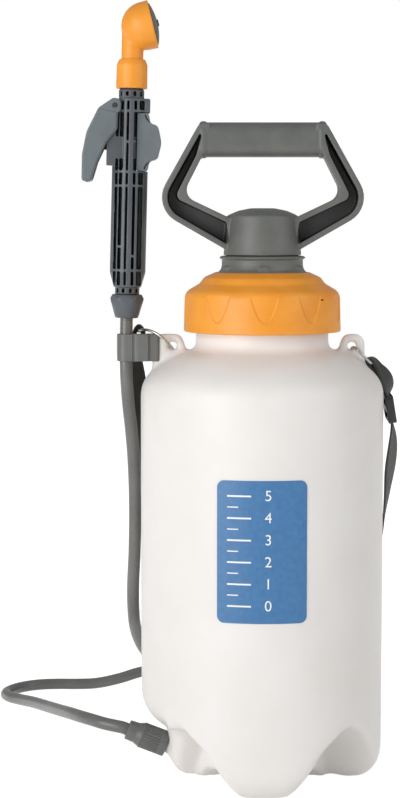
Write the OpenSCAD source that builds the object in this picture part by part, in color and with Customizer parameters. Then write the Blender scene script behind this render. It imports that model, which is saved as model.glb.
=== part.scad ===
// Camp shower: a pressure bottle with a plunger pump, a hose and a parked trigger wand.
// The origin is on the ground below the bottle's axis, +Z is up and the wand stands on the -X side.

/* [Bottle] */
// Radius of the bottle's wall
tank_r = 89; // [82:0.5:94]
// Thickness of the blow-moulded wall
tank_wall = 2.5; // [1.8:0.1:3.2]
// Height at which the wall turns into the shoulder
shoulder_z = 283; // [262:1:300]
// Radius of the shoulder's outer edge
shoulder_edge_r = 22; // [18:1:26]
// Radius of the shoulder's dome
shoulder_dome_r = 64; // [58:1:70]
// Outer radius of the neck
neck_r = 48.4; // [46.4:0.2:50]
// Wall of the neck
neck_wall = 4.4; // [3:0.2:6]
// Height of the neck's rim above the foot of the shoulder
neck_rise = 67; // [62:1:72]
// Radius of the rounding under each foot
base_corner_r = 22; // [18:1:26]
// Rounding along the top of each valley between the feet
valley_r = 10; // [7:0.5:14]
// Slope of a foot's flanks
foot_flank = 42; // [38:1:46]
// Height of the base's middle above the ground
push_up = 8; // [6:0.5:12]
// Height at which the valleys between the feet fade into the wall
valley_z = 50; // [44:1:58]

/* [Ears and clip] */
// Thickness of the carrying ears
ear_t = 6; // [5:0.5:8]
// Diameter of the hole in each ear
ear_hole_d = 6.4; // [5.6:0.2:7.2]
// Distance of the ear holes in from the wall
ear_inset = 23.5; // [22:0.5:25]
// Height of the parking clip
clip_h = 20; // [14:0.5:22]
// Wall of the parking clip
clip_wall = 1.6; // [1.2:0.1:2.4]

/* [Outlet] */
// Upward slope of the outlet spout
outlet_slope = 21; // [17:1:23]
// Radius of the spout
spout_r = 6.5; // [5.6:0.1:7]
// Radius of the outlet nut
outlet_nut_r = 9.6; // [9:0.1:11]
// Length of the outlet nut's ribbed barrel
outlet_nut_l = 22.7; // [20:0.1:24]
// Number of ribs round the outlet nut
outlet_ribs = 30; // [18:2:36]

/* [Pump] */
// Radius of the screw collar at its lower edge
collar_r = 57.4; // [57:0.1:60]
// Height of the collar
collar_h = 43; // [42:0.2:47]
// How far the collar reaches down over the neck
collar_skirt = 20.6; // [16:0.2:21]
// Number of finger scallops round the collar
scallops = 10; // [6:1:12]
// Outer radius of the pump barrel
barrel_r = 21; // [18:0.5:24]
// Wall of the pump barrel
barrel_wall = 2.5; // [1.8:0.1:3.5]
// Length of the pump barrel below the neck's rim
barrel_l = 235; // [200:1:250]
// Radius of the piston rod
rod_r = 8; // [6:0.5:10]
// Radius of the gland that guides the rod
gland_r = 31.6; // [30:0.2:32.4]
// Height of the gland above the neck's rim
gland_h = 34.4; // [31:0.2:38]

/* [Handle] */
// Half width of the handle's grip bar
grip_half = 46; // [42:0.5:50]
// Height of the grip bar's section
grip_h = 25; // [22:0.5:28]
// Depth of the handle
handle_depth = 23; // [18:0.5:24]
// Thickness of the handle's rims
handle_rim = 4; // [3:0.2:5]
// Height of the grip's underside above the hub's foot
grip_rise = 71; // [68:0.5:78]
// Radius of the hub at its foot
hub_r = 28.4; // [27:0.2:30]

/* [Wand] */
// Lean of the parked wand
wand_lean = 1.45; // [0:0.05:2]
// Radius of the ribbed wand body
wand_r = 13; // [12.4:0.1:13.6]
// Radius of the wand's hose nut
wand_nut_r = 12.3; // [11.5:0.1:13]
// Radius of the trigger's pivot pin
pin_r = 1.6; // [1.2:0.1:2]
// Width of the trigger across its cheeks
trigger_w = 19; // [18.4:0.2:22]
// Thickness of the trigger's wall
trigger_t = 2; // [1.6:0.1:2.2]
// Radius of the valve stem
stem_r = 1.8; // [1.4:0.1:2]
// Radius of the rose at its face
rose_r = 17.6; // [17:0.1:18]
// Upward slope of the rose's face
rose_slope = 15; // [8:1:17]
// Radius of the rose's neck
rose_neck_r = 7.9; // [7.4:0.1:8.6]

/* [Hose and strap] */
// Outer diameter of the hose
hose_d = 9.3; // [8:0.1:9.4]
// Radius of the coil's widest loop
coil_r = 58; // [50:1:60]
// Step between neighbouring loops of the coil
coil_step = 9.9; // [9.8:0.1:11]
// Width of the carrying strap
strap_w = 25; // [20:1:26]
// Thickness of the carrying strap
strap_t = 1.8; // [1.4:0.1:2.2]
// Thickness of the wire in the strap's rings
ring_wire_d = 2; // [1.6:0.1:2.4]

/* [Hidden] */
$fn = 64;
// Gap between pieces that move past each other, and between a piece and its seat
clear = 0.3;
slip = 0.06;
cut = 1;

// Colours as the object shows them
milky = "#f0ece9";
orange = "#f5a843";
grey = "#6f716e";
wand_grey = "#606467";
lever_grey = "#777f82";
hose_grey = "#80807e";
rubber = "#2b2b2b";
steel = "#b8b8b8";
webbing = "#3c3d38";

// Points on an arc round a centre, from one angle to another
function arc(c, r, a0, a1, n = 10) =
    [for (i = [0 : n]) c + r * [cos(a0 + (a1 - a0) * i / n), sin(a0 + (a1 - a0) * i / n)]];

function unit(v) = v / norm(v);

// The short turn from one direction to another, in degrees
function turn(a, b) = atan2(a.x * b.y - a.y * b.x, a * b);

// One corner of an outline, rounded between its two neighbours
function corner(a, b, c, r, n) =
    let (u = unit(a - b), v = unit(c - b), half = acos(u * v) / 2)
    let (m = b + unit(u + v) * r / sin(half), s = b + u * r / tan(half) - m)
    let (e = b + v * r / tan(half) - m, a0 = atan2(s.y, s.x))
    arc(m, r, a0, a0 + turn(s, e), n);

// An outline whose points are [x, y, radius], with each corner rounded to its radius
function rounded(p, n = 6) =
    [for (i = [0 : len(p) - 1])
        let (a = p[(i + len(p) - 1) % len(p)], b = p[i], c = p[(i + 1) % len(p)])
        let (b2 = [b.x, b.y])
        each b.z > 0 ? corner([a.x, a.y], b2, [c.x, c.y], b.z, n) : [b2]];

// The same outline drawn in by d on every edge; its points run anticlockwise
function inset(p, d) =
    [for (i = [0 : len(p) - 1])
        let (a = p[(i + len(p) - 1) % len(p)], b = p[i], c = p[(i + 1) % len(p)])
        let (u = unit([b.x - a.x, b.y - a.y]), v = unit([c.x - b.x, c.y - b.y]))
        let (m = [-u.y, u.x], k = [-v.y, v.x], s = d / (1 + m * k))
        [b.x + s * (m.x + k.x), b.y + s * (m.y + k.y), max(b.z - d, 0.6)]];

// A smooth curve through points, with n steps between neighbours
function spline(p, n) =
    let (l = len(p) - 1)
    concat(
        [for (i = [0 : l - 1], k = [0 : n - 1])
            let (t = k / n, a = p[max(i - 1, 0)], b = p[i], c = p[i + 1], d = p[min(i + 2, l)])
            b + 0.5 * t * (c - a + t * (2 * a - 5 * b + 4 * c - d + t * (3 * (b - c) + d - a)))],
        [p[l]]);

function closed_spline(p, n) =
    let (l = len(p))
    [for (i = [0 : l - 1], k = [0 : n - 1])
        let (t = k / n, a = p[(i + l - 1) % l], b = p[i], c = p[(i + 1) % l], d = p[(i + 2) % l])
        b + 0.5 * t * (c - a + t * (2 * a - 5 * b + 4 * c - d + t * (3 * (b - c) + d - a)))];

function directions(p) =
    [for (i = [0 : len(p) - 1]) unit(p[min(i + 1, len(p) - 1)] - p[max(i - 1, 0)])];

// Directions across a path that turn with it and don't twist round it
function across(t, start) =
    [for (i = 0, u = unit(start - (start * t[0]) * t[0]); i < len(t);
        i = i + 1, u = i < len(t) ? unit(u - (u * t[i]) * t[i]) : u) u];

// Triangles over rows of points, each row one section of a tube or band
function skin(rows, n, loop) =
    let (last = (rows - 1) * n)
    concat(
        [for (i = [0 : rows - (loop ? 1 : 2)], j = [0 : n - 1], h = [0, 1])
            let (a = i * n, b = (i + 1) % rows * n, k = (j + 1) % n)
            h == 0 ? [a + j, b + j, a + k] : [b + j, b + k, a + k]],
        loop ? [] : [for (k = [1 : n - 2]) [0, k, k + 1]],
        loop ? [] : [for (k = [1 : n - 2]) [last, last + k + 1, last + k]]);

module tube_along(path, d, n) {
    t = directions(path);
    u = across(t, [0, 0, 1] + 0.01 * [1, 2, 0]);
    points = [for (i = [0 : len(path) - 1], j = [0 : n - 1])
        path[i] + d / 2 * (cos(360 * j / n) * u[i] + sin(360 * j / n) * cross(t[i], u[i]))];
    polyhedron(points, skin(len(path), n, false));
}

// A closed loop of wire, whose sections stand on the loop's own plane
module wire_loop(path, d, axis, n) {
    l = len(path);
    points = [for (i = [0 : l - 1], j = [0 : n - 1])
        let (t = unit(path[(i + 1) % l] - path[(i + l - 1) % l]))
        let (u = unit(cross(axis, t)), v = cross(t, u))
        path[i] + d / 2 * (cos(360 * j / n) * u + sin(360 * j / n) * v)];
    polyhedron(points, skin(l, n, true));
}

// A helical spring along +Z, between two heights
module spring_coil(r, wire, z0, z1, turns) {
    path = [for (i = [0 : turns * 8])
        [r * cos(45 * i), r * sin(45 * i), z0 + wire / 2 + (z1 - z0 - wire) * i / (turns * 8)]];
    tube_along(path, wire, 6);
}

// A flat plate drawn in the XZ plane and standing half its thickness on each side of y
module upright(t, y = 0) {
    translate([0, y + t / 2, 0]) rotate([90, 0, 0]) linear_extrude(t) children();
}

// Bottle
neck_top = shoulder_z + neck_rise;
foot_r = tank_r - base_corner_r;
pad_inner_r = foot_r - 8;
dome_c = [tank_r - shoulder_edge_r, shoulder_z] - (shoulder_dome_r - shoulder_edge_r) * [cos(45), sin(45)];
neck_fillet_r = 5;
neck_fillet_x = neck_r + neck_fillet_r;
neck_fillet_z = dome_c.y + sqrt(pow(shoulder_dome_r + neck_fillet_r, 2) - pow(neck_fillet_x - dome_c.x, 2));
dome_end = atan2(neck_fillet_z - dome_c.y, neck_fillet_x - dome_c.x);
valley_foot = push_up - 4;
valley_slope = atan((valley_z - valley_foot) / tank_r);
ear_hole_x = tank_r - ear_inset;
ear_hole_z = shoulder_z + 35.4;
ear_top = ear_hole_z + 9.6;
ear_in = ear_hole_x - 8.9;
ear_out = ear_hole_x + 10.3;
ear_rail = ear_hole_x + 15.5;

// Half outline of the bottle, drawn in by w for the inside of the wall
function tank_outline(w) =
    concat(
        [[0, push_up + w], [pad_inner_r, w], [foot_r, w]],
        arc([foot_r, base_corner_r], base_corner_r - w, -80, 0, 8),
        arc([tank_r - shoulder_edge_r, shoulder_z], shoulder_edge_r - w, 0, 45, 6),
        arc(dome_c, shoulder_dome_r - w, 48, dome_end, 8));

// Section of one valley between two feet, rounded at its top
module valley_section(w) {
    r = valley_r + w;
    fall = valley_z + valley_r;
    reach = r * sin(foot_flank) + fall / tan(foot_flank);
    low = r * cos(foot_flank) - fall;
    translate([0, -valley_r]) polygon(concat(
        arc([0, 0], r, 90 - foot_flank, 90 + foot_flank, 8), [[-reach, low], [reach, low]]));
}

// The four valleys, which rise from the middle of the base to the wall
module valleys(w) {
    for (a = [45 : 90 : 315]) rotate(a) translate([0, 0, valley_foot]) rotate([0, -valley_slope, 0])
        translate([-5, 0, 0]) rotate([90, 0, 90]) linear_extrude(1.5 * tank_r) valley_section(w);
}

// The bottle's body as a full form, drawn in by w
module tank_form(w) {
    difference() {
        rotate_extrude($fn = 96)
            polygon(concat(tank_outline(w), [[0, dome_c.y + (shoulder_dome_r - w) * sin(dome_end)]]));
        valleys(w);
        outlet_recess(w);
    }
}

// Outlet spout, in the bottle's parting plane on the -X side
spout_at = [21.5 - tank_r, 0, 20];
spout_bore_r = 3.6;
spout_l = 24;
recess_r = 11.4;
recess_flare = 14;
bevel_r = 30;
bevel_z = 66;
recess_half = 48;
recess_wall_r = tank_r - 20;
recess_foot_r = 18;
module outlet_frame() {
    translate(spout_at) rotate([0, outlet_slope - 90, 0]) children();
}

// Room for the outlet nut: a flared pocket round the spout, and the wall bevelled back round it
module outlet_recess(w) {
    outlet_frame() translate([0, 0, -w]) rotate_extrude() polygon(concat(
        [[0, 0], [recess_r + w, 0]],
        arc([recess_r + w + recess_flare, 2], recess_flare, 180, 95, 8),
        [[recess_r + recess_flare + w, 40], [0, 40]]));
    difference() {
        translate([-tank_r - cut, -recess_half - w, -cut])
            cube([tank_r - 40, 2 * (recess_half + w), bevel_z + cut]);
        rotate_extrude($fn = 96) polygon(concat(
            [[0, -2 * cut], [recess_wall_r - recess_foot_r, -2 * cut], [recess_wall_r - recess_foot_r, w]],
            arc([recess_wall_r - recess_foot_r, recess_foot_r], recess_foot_r - w, -80, 0, 6),
            arc([tank_r + 0.5 - bevel_r, bevel_z], bevel_r - w, -69, 0, 8),
            [[tank_r + 0.5 - w, bevel_z + 2 * cut], [0, bevel_z + 2 * cut]]));
    }
}

module ear_plate(inner, outer, side) {
    top_r = 8;
    upright(ear_t) polygon(rounded([
        [side * inner, shoulder_z + 18, 0], [side * outer, shoulder_z + 6, 0],
        [side * outer, ear_top, top_r], [side * inner, ear_top, top_r]]));
}

relief_off_collar = 8.6;
relief_y = collar_r + relief_off_collar;
relief_seat = shoulder_z + 34;
relief_bore_r = 5.2;
relief_boss_r = 9;
module tank() {
    color(milky) difference() {
        union() {
            tank_form(0);
            cylinder(r = neck_r, h = neck_top);
            rotate_extrude() difference() {
                translate([0, neck_fillet_z - 12]) square([neck_fillet_x, 12]);
                translate([neck_fillet_x, neck_fillet_z]) circle(neck_fillet_r);
            }
            intersection() {
                union() {
                    ear_plate(ear_in, ear_out, 1);
                    ear_plate(ear_in, ear_rail, -1);
                }
                translate([0, 0, shoulder_z]) cylinder(r = tank_r - 2, h = neck_rise);
            }
            translate([0, relief_y, shoulder_z]) cylinder(r = relief_boss_r, h = relief_seat - shoulder_z);
            outlet_frame() translate([0, 0, -6]) cylinder(r = spout_r, h = spout_l + 6);
        }
        tank_form(tank_wall);
        translate([0, 0, shoulder_z]) cylinder(r = neck_r - neck_wall, h = neck_rise + cut);
        for (s = [-1, 1]) translate([s * ear_hole_x, 0, ear_hole_z])
            rotate([90, 0, 0]) cylinder(d = ear_hole_d, h = ear_t + 2 * cut, center = true);
        translate([0, relief_y, shoulder_z]) cylinder(r = relief_bore_r, h = neck_rise);
        outlet_frame() translate([0, 0, -12]) cylinder(r = spout_bore_r, h = spout_l + 20);
    }
}

// Pressure relief valve in the rear of the shoulder
relief_flange = 3;
relief_top = relief_seat + 13;
relief_chamber_r = 4.3;
relief_floor = relief_seat - 5;
relief_inlet_r = 1.6;
relief_stem_r = 1.7;
relief_cap_t = 3;
relief_seal_t = 1.2;
relief_foot_t = 1.5;
module at_relief() {
    translate([0, relief_y, 0]) children();
}

module relief_body() {
    color(grey) at_relief() difference() {
        union() {
            translate([0, 0, relief_floor - 6]) cylinder(r = relief_bore_r - slip, h = 18);
            translate([0, 0, relief_seat]) cylinder(r = relief_boss_r - 0.6, h = relief_flange, $fn = 6);
            translate([0, 0, relief_seat]) cylinder(r = relief_chamber_r + 1.6, h = relief_top - relief_seat);
        }
        translate([0, 0, relief_floor]) cylinder(r = relief_chamber_r, h = 30);
        translate([0, 0, relief_floor - 10]) cylinder(r = relief_inlet_r, h = 20);
        translate([0, 0, relief_seat + relief_flange + 2]) rotate([90, 0, 0])
            cylinder(r = 1, h = 20, center = true);
    }
}

module relief_cap() {
    color(grey) at_relief() translate([0, 0, relief_top - relief_cap_t]) difference() {
        cylinder(r = relief_chamber_r, h = relief_cap_t);
        translate([0, 0, -cut]) cylinder(r = relief_stem_r + slip, h = relief_cap_t + 2 * cut);
    }
}

relief_seal_z = relief_floor + 0.05;
relief_foot_z = relief_seal_z + relief_seal_t;
module relief_seal() {
    color(rubber) at_relief() translate([0, 0, relief_seal_z])
        cylinder(r = relief_chamber_r - 0.4, h = relief_seal_t);
}

relief_spring_wire = 0.8;
module relief_spring() {
    color(steel) at_relief() spring_coil(relief_stem_r + 1.1, relief_spring_wire,
        relief_foot_z + relief_foot_t + 0.05, relief_top - relief_cap_t - 0.05, 6);
}

knob_r = 7.6;
knob_h = 8;
module relief_knob() {
    color("#a33a2c") at_relief() {
        translate([0, 0, relief_foot_z]) cylinder(r = relief_chamber_r - 0.6, h = relief_foot_t);
        translate([0, 0, relief_foot_z]) cylinder(r = relief_stem_r, h = relief_top - relief_foot_z + 2);
        translate([0, 0, relief_top + clear]) rotate_extrude() polygon(rounded([
            [0, 0, 0], [knob_r - 2, 0, 0.8], [knob_r - 2, 3, 1], [knob_r, 4, 0.8],
            [knob_r, knob_h, 1.5], [0, knob_h, 0]], 4));
    }
}

// Hose union on the outlet spout, drawn along its own axis
union_gap = 0.4;
union_nut_z = 3;
outlet_sleeve_l = 8.5;
outlet_sleeve_r = 7.2;
tail_bore_r = 2.6;
tail_r = 3.2;
union_seal_t = 1.5;
union_seal_z = spout_l + 0.05;
tail_flange_z = union_seal_z + union_seal_t;
tail_flange_t = 2.5;
nut_roof_z = union_nut_z + outlet_nut_l;
union_end = nut_roof_z + outlet_sleeve_l;

module outlet_seal() {
    color(rubber) outlet_frame() translate([0, 0, union_seal_z]) difference() {
        cylinder(r = spout_r, h = union_seal_t);
        translate([0, 0, -cut]) cylinder(r = spout_bore_r, h = union_seal_t + 2 * cut);
    }
}

module outlet_tail() {
    color(grey) outlet_frame() difference() {
        union() {
            translate([0, 0, tail_flange_z]) cylinder(r = spout_r, h = tail_flange_t);
            translate([0, 0, tail_flange_z]) cylinder(r = tail_r, h = union_end - tail_flange_z);
        }
        translate([0, 0, tail_flange_z - cut]) cylinder(r = tail_bore_r, h = 40);
    }
}

// Ribbed barrel with a plain ring at the bottle's end and a tapered sleeve at the hose's end
module outlet_nut() {
    barrel_in = tail_flange_z + tail_flange_t + 0.05;
    color(grey) outlet_frame() difference() {
        union() {
            rotate_extrude() polygon(rounded([
                [spout_r + union_gap, union_nut_z, 0], [outlet_nut_r, union_nut_z, 0.8],
                [outlet_nut_r, union_nut_z + 5, 0], [outlet_nut_r - 0.7, union_nut_z + 5.6, 0],
                [outlet_nut_r - 0.7, nut_roof_z - 2, 1], [outlet_sleeve_r + 0.4, nut_roof_z + 1.5, 0],
                [outlet_sleeve_r, union_end, 0.6], [tail_r + slip, union_end, 0],
                [tail_r + slip, barrel_in, 0], [spout_r + union_gap, barrel_in, 0]], 4));
            for (i = [0 : outlet_ribs - 1]) rotate(360 * i / outlet_ribs)
                translate([outlet_nut_r - 1.2, -0.45, union_nut_z + 4])
                cube([1.1, 0.9, outlet_nut_l - 6.5]);
        }
    }
}

// Clip that grips the left ear's outer edge and holds the hose below the wand
clip_z = ear_hole_z - 11;
wand_stand_off = 10.2;
wand_at = [-tank_r - wand_stand_off, 0, shoulder_z + 56];
hose_x = wand_at.x - (wand_at.z - clip_z - clip_h / 2) * tan(wand_lean);
clip_ring_r = hose_d / 2 + clear + clip_wall;
jaw_half = ear_t / 2 + clear + clip_wall;
module wand_clip() {
    color(grey) translate([0, 0, clip_z]) linear_extrude(clip_h) difference() {
        union() {
            translate([hose_x, 0]) circle(clip_ring_r);
            translate([hose_x, -clip_ring_r]) square([-ear_rail - 2 - hose_x, clip_ring_r + 1.5]);
            polygon(rounded([
                [-ear_rail - 4, -jaw_half, 2], [-ear_rail + 6, -jaw_half, 2],
                [-ear_rail + 6, jaw_half, 2], [-ear_rail - 4, jaw_half, 2]]));
        }
        translate([hose_x, 0]) circle(hose_d / 2 + clear);
        translate([hose_x - hose_d / 2 + 1.2, 0]) square([hose_d - 2.4, clip_ring_r + cut]);
        translate([-ear_rail - clear, -ear_t / 2 - clear]) square([20, ear_t + 2 * clear]);
    }
}

// Screw collar and the pump that it clamps on the neck
seal_t = 2;
flange_t = 4;
flange_z = neck_top + seal_t;
flange_top = flange_z + flange_t;
collar_z = neck_top - collar_skirt;
collar_bore_r = neck_r + 0.5;
collar_hole_r = gland_r + 1.2;
scallop_r = 14;
scallop_lean = 10.5;
module collar() {
    roof = flange_top + clear - collar_z;
    color(orange) translate([0, 0, collar_z]) difference() {
        rotate_extrude($fn = 96) polygon(rounded([
            [collar_bore_r, 0, 0], [collar_r, 0, 0.8], [collar_r - 0.8, 27.6, 6],
            [collar_r - 11, 35.4, 3], [collar_hole_r + 1.6, collar_h, 1.2], [collar_hole_r, collar_h, 0.8],
            [collar_hole_r, roof, 0], [collar_bore_r, roof, 0]], 5));
        for (i = [0 : scallops - 1]) rotate(-90 + 360 * i / scallops)
            translate([collar_r + scallop_r - 0.1, 0, 5.5]) rotate([0, -scallop_lean, 0])
            cylinder(r = scallop_r, h = 60);
    }
}

module neck_seal() {
    color(rubber) translate([0, 0, neck_top + 0.05]) difference() {
        cylinder(r = neck_r - 0.6, h = seal_t - 0.1);
        translate([0, 0, -cut]) cylinder(r = neck_r - neck_wall, h = seal_t + 2 * cut);
    }
}

barrel_bore_r = barrel_r - barrel_wall;
barrel_z = neck_top - barrel_l;
module pump_barrel() {
    color("#d9d9d4") difference() {
        union() {
            translate([0, 0, barrel_z]) cylinder(r = barrel_r, h = flange_top - barrel_z);
            translate([0, 0, flange_z]) cylinder(r = neck_r - 0.6, h = flange_t);
            for (a = [30 : 60 : 330]) rotate(a) translate([barrel_r - 1.2, -1, flange_z - 12])
                cube([16, 2, 13]);
        }
        translate([0, 0, barrel_z - cut]) cylinder(r = barrel_bore_r, h = barrel_l + 30);
    }
}

// Gland that closes the barrel, guides the rod and carries the wiper
gland_z = flange_top;
gland_top = neck_top + gland_h;
gland_plug = 10;
wiper_t = 4;
wiper_r = 11;
module pump_gland() {
    step_z = gland_top - 7;
    color(grey) difference() {
        union() {
            rotate_extrude() polygon(rounded([
                [0, gland_z - gland_plug, 0], [barrel_bore_r - slip, gland_z - gland_plug, 1],
                [barrel_bore_r - slip, gland_z, 0], [gland_r + 0.8, gland_z, 0],
                [gland_r + 0.8, gland_top - 12, 1], [gland_r - 1.2, step_z - 3, 0],
                [gland_r - 2, step_z, 0.5], [gland_r - 2, gland_top - 2.4, 0],
                [gland_r - 0.3, gland_top - 2, 0.3], [gland_r - 0.3, gland_top - 0.8, 0.3],
                [gland_r - 2.4, gland_top, 0], [0, gland_top, 0]], 3));
            for (a = [30 : 60 : 330]) rotate(a) translate([gland_r - 4, -3.2, step_z - 5])
                cube([3.6, 6.4, 4.5]);
        }
        translate([0, 0, gland_z - 20]) cylinder(r = rod_r + slip, h = 80);
        translate([0, 0, gland_top - 2 - wiper_t]) cylinder(r = wiper_r, h = wiper_t + 4);
    }
}

module rod_wiper() {
    color(rubber) translate([0, 0, gland_top - 2 - wiper_t]) difference() {
        cylinder(r = wiper_r, h = wiper_t);
        translate([0, 0, -cut]) cylinder(r = rod_r + slip, h = wiper_t + 2 * cut);
    }
}

// Check valve that closes the barrel's lower end
cage_t = 5;
disc_t = 1.5;
disc_drop = 1.5;
disc_stem_r = 1.4;
module check_cage() {
    color("#d9d9d4") translate([0, 0, barrel_z]) difference() {
        cylinder(r = barrel_bore_r, h = cage_t);
        for (a = [0 : 60 : 300]) rotate(a) translate([barrel_bore_r / 2, 0, -cut])
            cylinder(r = 2.2, h = cage_t + 2 * cut);
        translate([0, 0, -cut]) cylinder(r = disc_stem_r + slip, h = cage_t + 2 * cut);
    }
}

module check_disc() {
    color(rubber) {
        translate([0, 0, barrel_z - clear - disc_t]) cylinder(r = barrel_bore_r / 2 + 4, h = disc_t);
        translate([0, 0, barrel_z - clear - disc_t])
            cylinder(r = disc_stem_r, h = cage_t + disc_t + 2 * clear + disc_drop + cut);
        translate([0, 0, barrel_z + cage_t + clear + disc_drop]) cylinder(r = 2.6, h = 1.5);
    }
}

// Piston on the rod's lower end
piston_z = barrel_z + cage_t + 7;
piston_h = 12;
groove_h = 4;
groove_r = barrel_bore_r - 3;
rod_foot_t = 2;
module piston() {
    color("#d9d9d4") translate([0, 0, piston_z]) difference() {
        cylinder(r = barrel_bore_r - 0.3, h = piston_h);
        translate([0, 0, -cut]) cylinder(r = rod_r + slip, h = piston_h + 2 * cut);
        translate([0, 0, (piston_h - groove_h) / 2]) difference() {
            cylinder(r = barrel_r, h = groove_h);
            translate([0, 0, -cut]) cylinder(r = groove_r, h = groove_h + 2 * cut);
        }
    }
}

module piston_ring() {
    color(rubber) translate([0, 0, piston_z + (piston_h - groove_h) / 2 + 0.1]) difference() {
        cylinder(r = barrel_bore_r - slip, h = groove_h - 0.2);
        translate([0, 0, -cut]) cylinder(r = groove_r, h = groove_h + 2 * cut);
    }
}

// Handle: a hub on the rod and two open arms that carry the grip bar
hub_z = gland_top + 0.4;
hub_h = 28.5;
hub_top_r = hub_r - 2.8;
hub_dome = 5.6;
hub_wall = 3;
rod_top = hub_z + hub_h - 8;
module piston_rod() {
    color(steel) difference() {
        union() {
            translate([0, 0, piston_z - rod_foot_t - 0.1]) cylinder(r = rod_r, h = rod_top - piston_z + 2);
            translate([0, 0, piston_z - rod_foot_t - 0.1]) cylinder(r = rod_r + 3, h = rod_foot_t);
            translate([0, 0, piston_z + piston_h + 0.1]) cylinder(r = rod_r + 3, h = rod_foot_t);
        }
        translate([0, 0, piston_z + 4]) cylinder(r = rod_r - 2, h = rod_top);
    }
}

grip_z = hub_z + grip_rise;
grip_top = grip_z + grip_h;
elbow_out = [grip_half + 34, hub_z + 34.6];
elbow_in = [grip_half + 12.4, hub_z + 43.4];
arm = [
    [hub_top_r - 6, hub_z, 0.6], [elbow_out.x, elbow_out.y, 19.4], [grip_half, grip_top - 1, 5],
    [grip_half - 8, grip_top - 1, 0.6], [grip_half - 1.6, grip_z, 0.6], [elbow_in.x, elbow_in.y, 9],
    [hub_top_r - 3, hub_z + 26.5, 0.6]];

handle_web = 2.6;
web_y = 4.5;
module handle_arm() {
    difference() {
        upright(handle_depth) polygon(rounded(arm, 8));
        for (s = [-1, 1]) upright(handle_depth, web_y + s * (handle_depth / 2 + handle_web / 2))
            polygon(rounded(inset(arm, handle_rim), 8));
    }
}

module grip_section(grow) {
    h = grip_h / 2 + grow;
    d = handle_depth / 2 + grow;
    polygon(rounded([[-h, -d, 8], [h, -d, 8], [h, d, 8], [-h, d, 8]]));
}

module pump_handle() {
    color(grey) difference() {
        union() {
            handle_arm();
            mirror([1, 0, 0]) handle_arm();
            translate([-grip_half, 0, grip_z + grip_h / 2]) rotate([0, 90, 0])
                linear_extrude(2 * grip_half) grip_section(0);
            for (s = [-1, 1]) translate([s * (grip_half - 3) - 1.5, 0, grip_z + grip_h / 2])
                rotate([0, 90, 0]) linear_extrude(3) grip_section(0.8);
            rotate_extrude() polygon(rounded([
                [0, hub_z, 0], [hub_r, hub_z, 0.6], [hub_top_r, hub_z + hub_h, 1.2],
                [hub_top_r - 1.4, hub_z + hub_h + 1, 0], [hub_top_r - 8, hub_z + hub_h + 0.68 * hub_dome, 14],
                [hub_top_r - 17, hub_z + hub_h + hub_dome, 18], [0, hub_z + hub_h + hub_dome, 0]]));
        }
        difference() {
            translate([0, 0, hub_z - cut])
                cylinder(r = hub_top_r - hub_wall, h = hub_h - hub_wall + cut);
            cylinder(r = rod_r + hub_wall, h = grip_z);
            for (a = [45, 135]) rotate(a) translate([0, 0, hub_z + hub_h / 2])
                cube([2 * hub_r, 2.4, hub_h], center = true);
        }
        translate([0, 0, hub_z - cut]) cylinder(r = rod_r + slip, h = rod_top - hub_z + cut);
    }
}

// Wand: everything on it is drawn along its own axis, up from the hose nut
nut_l = 17.3;
neck_l = 5;
taper_l = 10.6;
body_z = nut_l + 0.3;
barrel_low = body_z + neck_l + taper_l;
body_top = 158.8;
tip_top = 166;
wand_bore_r = 2.8;
core_r = 5.4;
web_t = 4;
stem_z = 123.5;
chamber_r = 5;
chamber_x = -2.5;
pivot = [-11.4, 153.7];
cap_in = 4.9;
cap_low = 107;
cap_high = 148.5;
fork_half = trigger_w / 2 - trigger_t - clear;
slots = [[-9.35, 1.9], [-6.2, 2.2], [-1.65, 1.5], [3.65, 1.9], [8.15, 3.3]];
ribs = [34.2, 95.3, 105.4, 127, 149];
rib_t = 1.6;
module wand_frame() {
    translate(wand_at) rotate([0, wand_lean, 0]) children();
}

module wand_tail() {
    color(grey) wand_frame() difference() {
        union() {
            translate([0, 0, 0.2]) cylinder(r = 3.2, h = body_z + 3);
            translate([0, 0, nut_l - 2.6]) cylinder(r = 6, h = 2.6);
        }
        cylinder(r = 2.2, h = 80, center = true);
    }
}

// Hose nut: a tapered turning with six flats
module wand_nut() {
    color(wand_grey) wand_frame() difference() {
        intersection() {
            rotate_extrude() polygon(rounded([
                [0, 0, 0], [8.4, 0, 1.5], [wand_nut_r - 0.3, nut_l - 4.6, 1.5], [wand_nut_r, nut_l - 3, 0.8],
                [wand_nut_r - 1.6, nut_l, 0.8], [0, nut_l, 0]], 4));
            cylinder(r = wand_nut_r + 0.6, h = nut_l, $fn = 6);
        }
        translate([0, 0, -cut]) cylinder(r = 3.2 + slip, h = nut_l + 2 * cut);
        translate([0, 0, nut_l - 2.8]) cylinder(r = 6 + slip, h = 4);
    }
}

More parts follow.
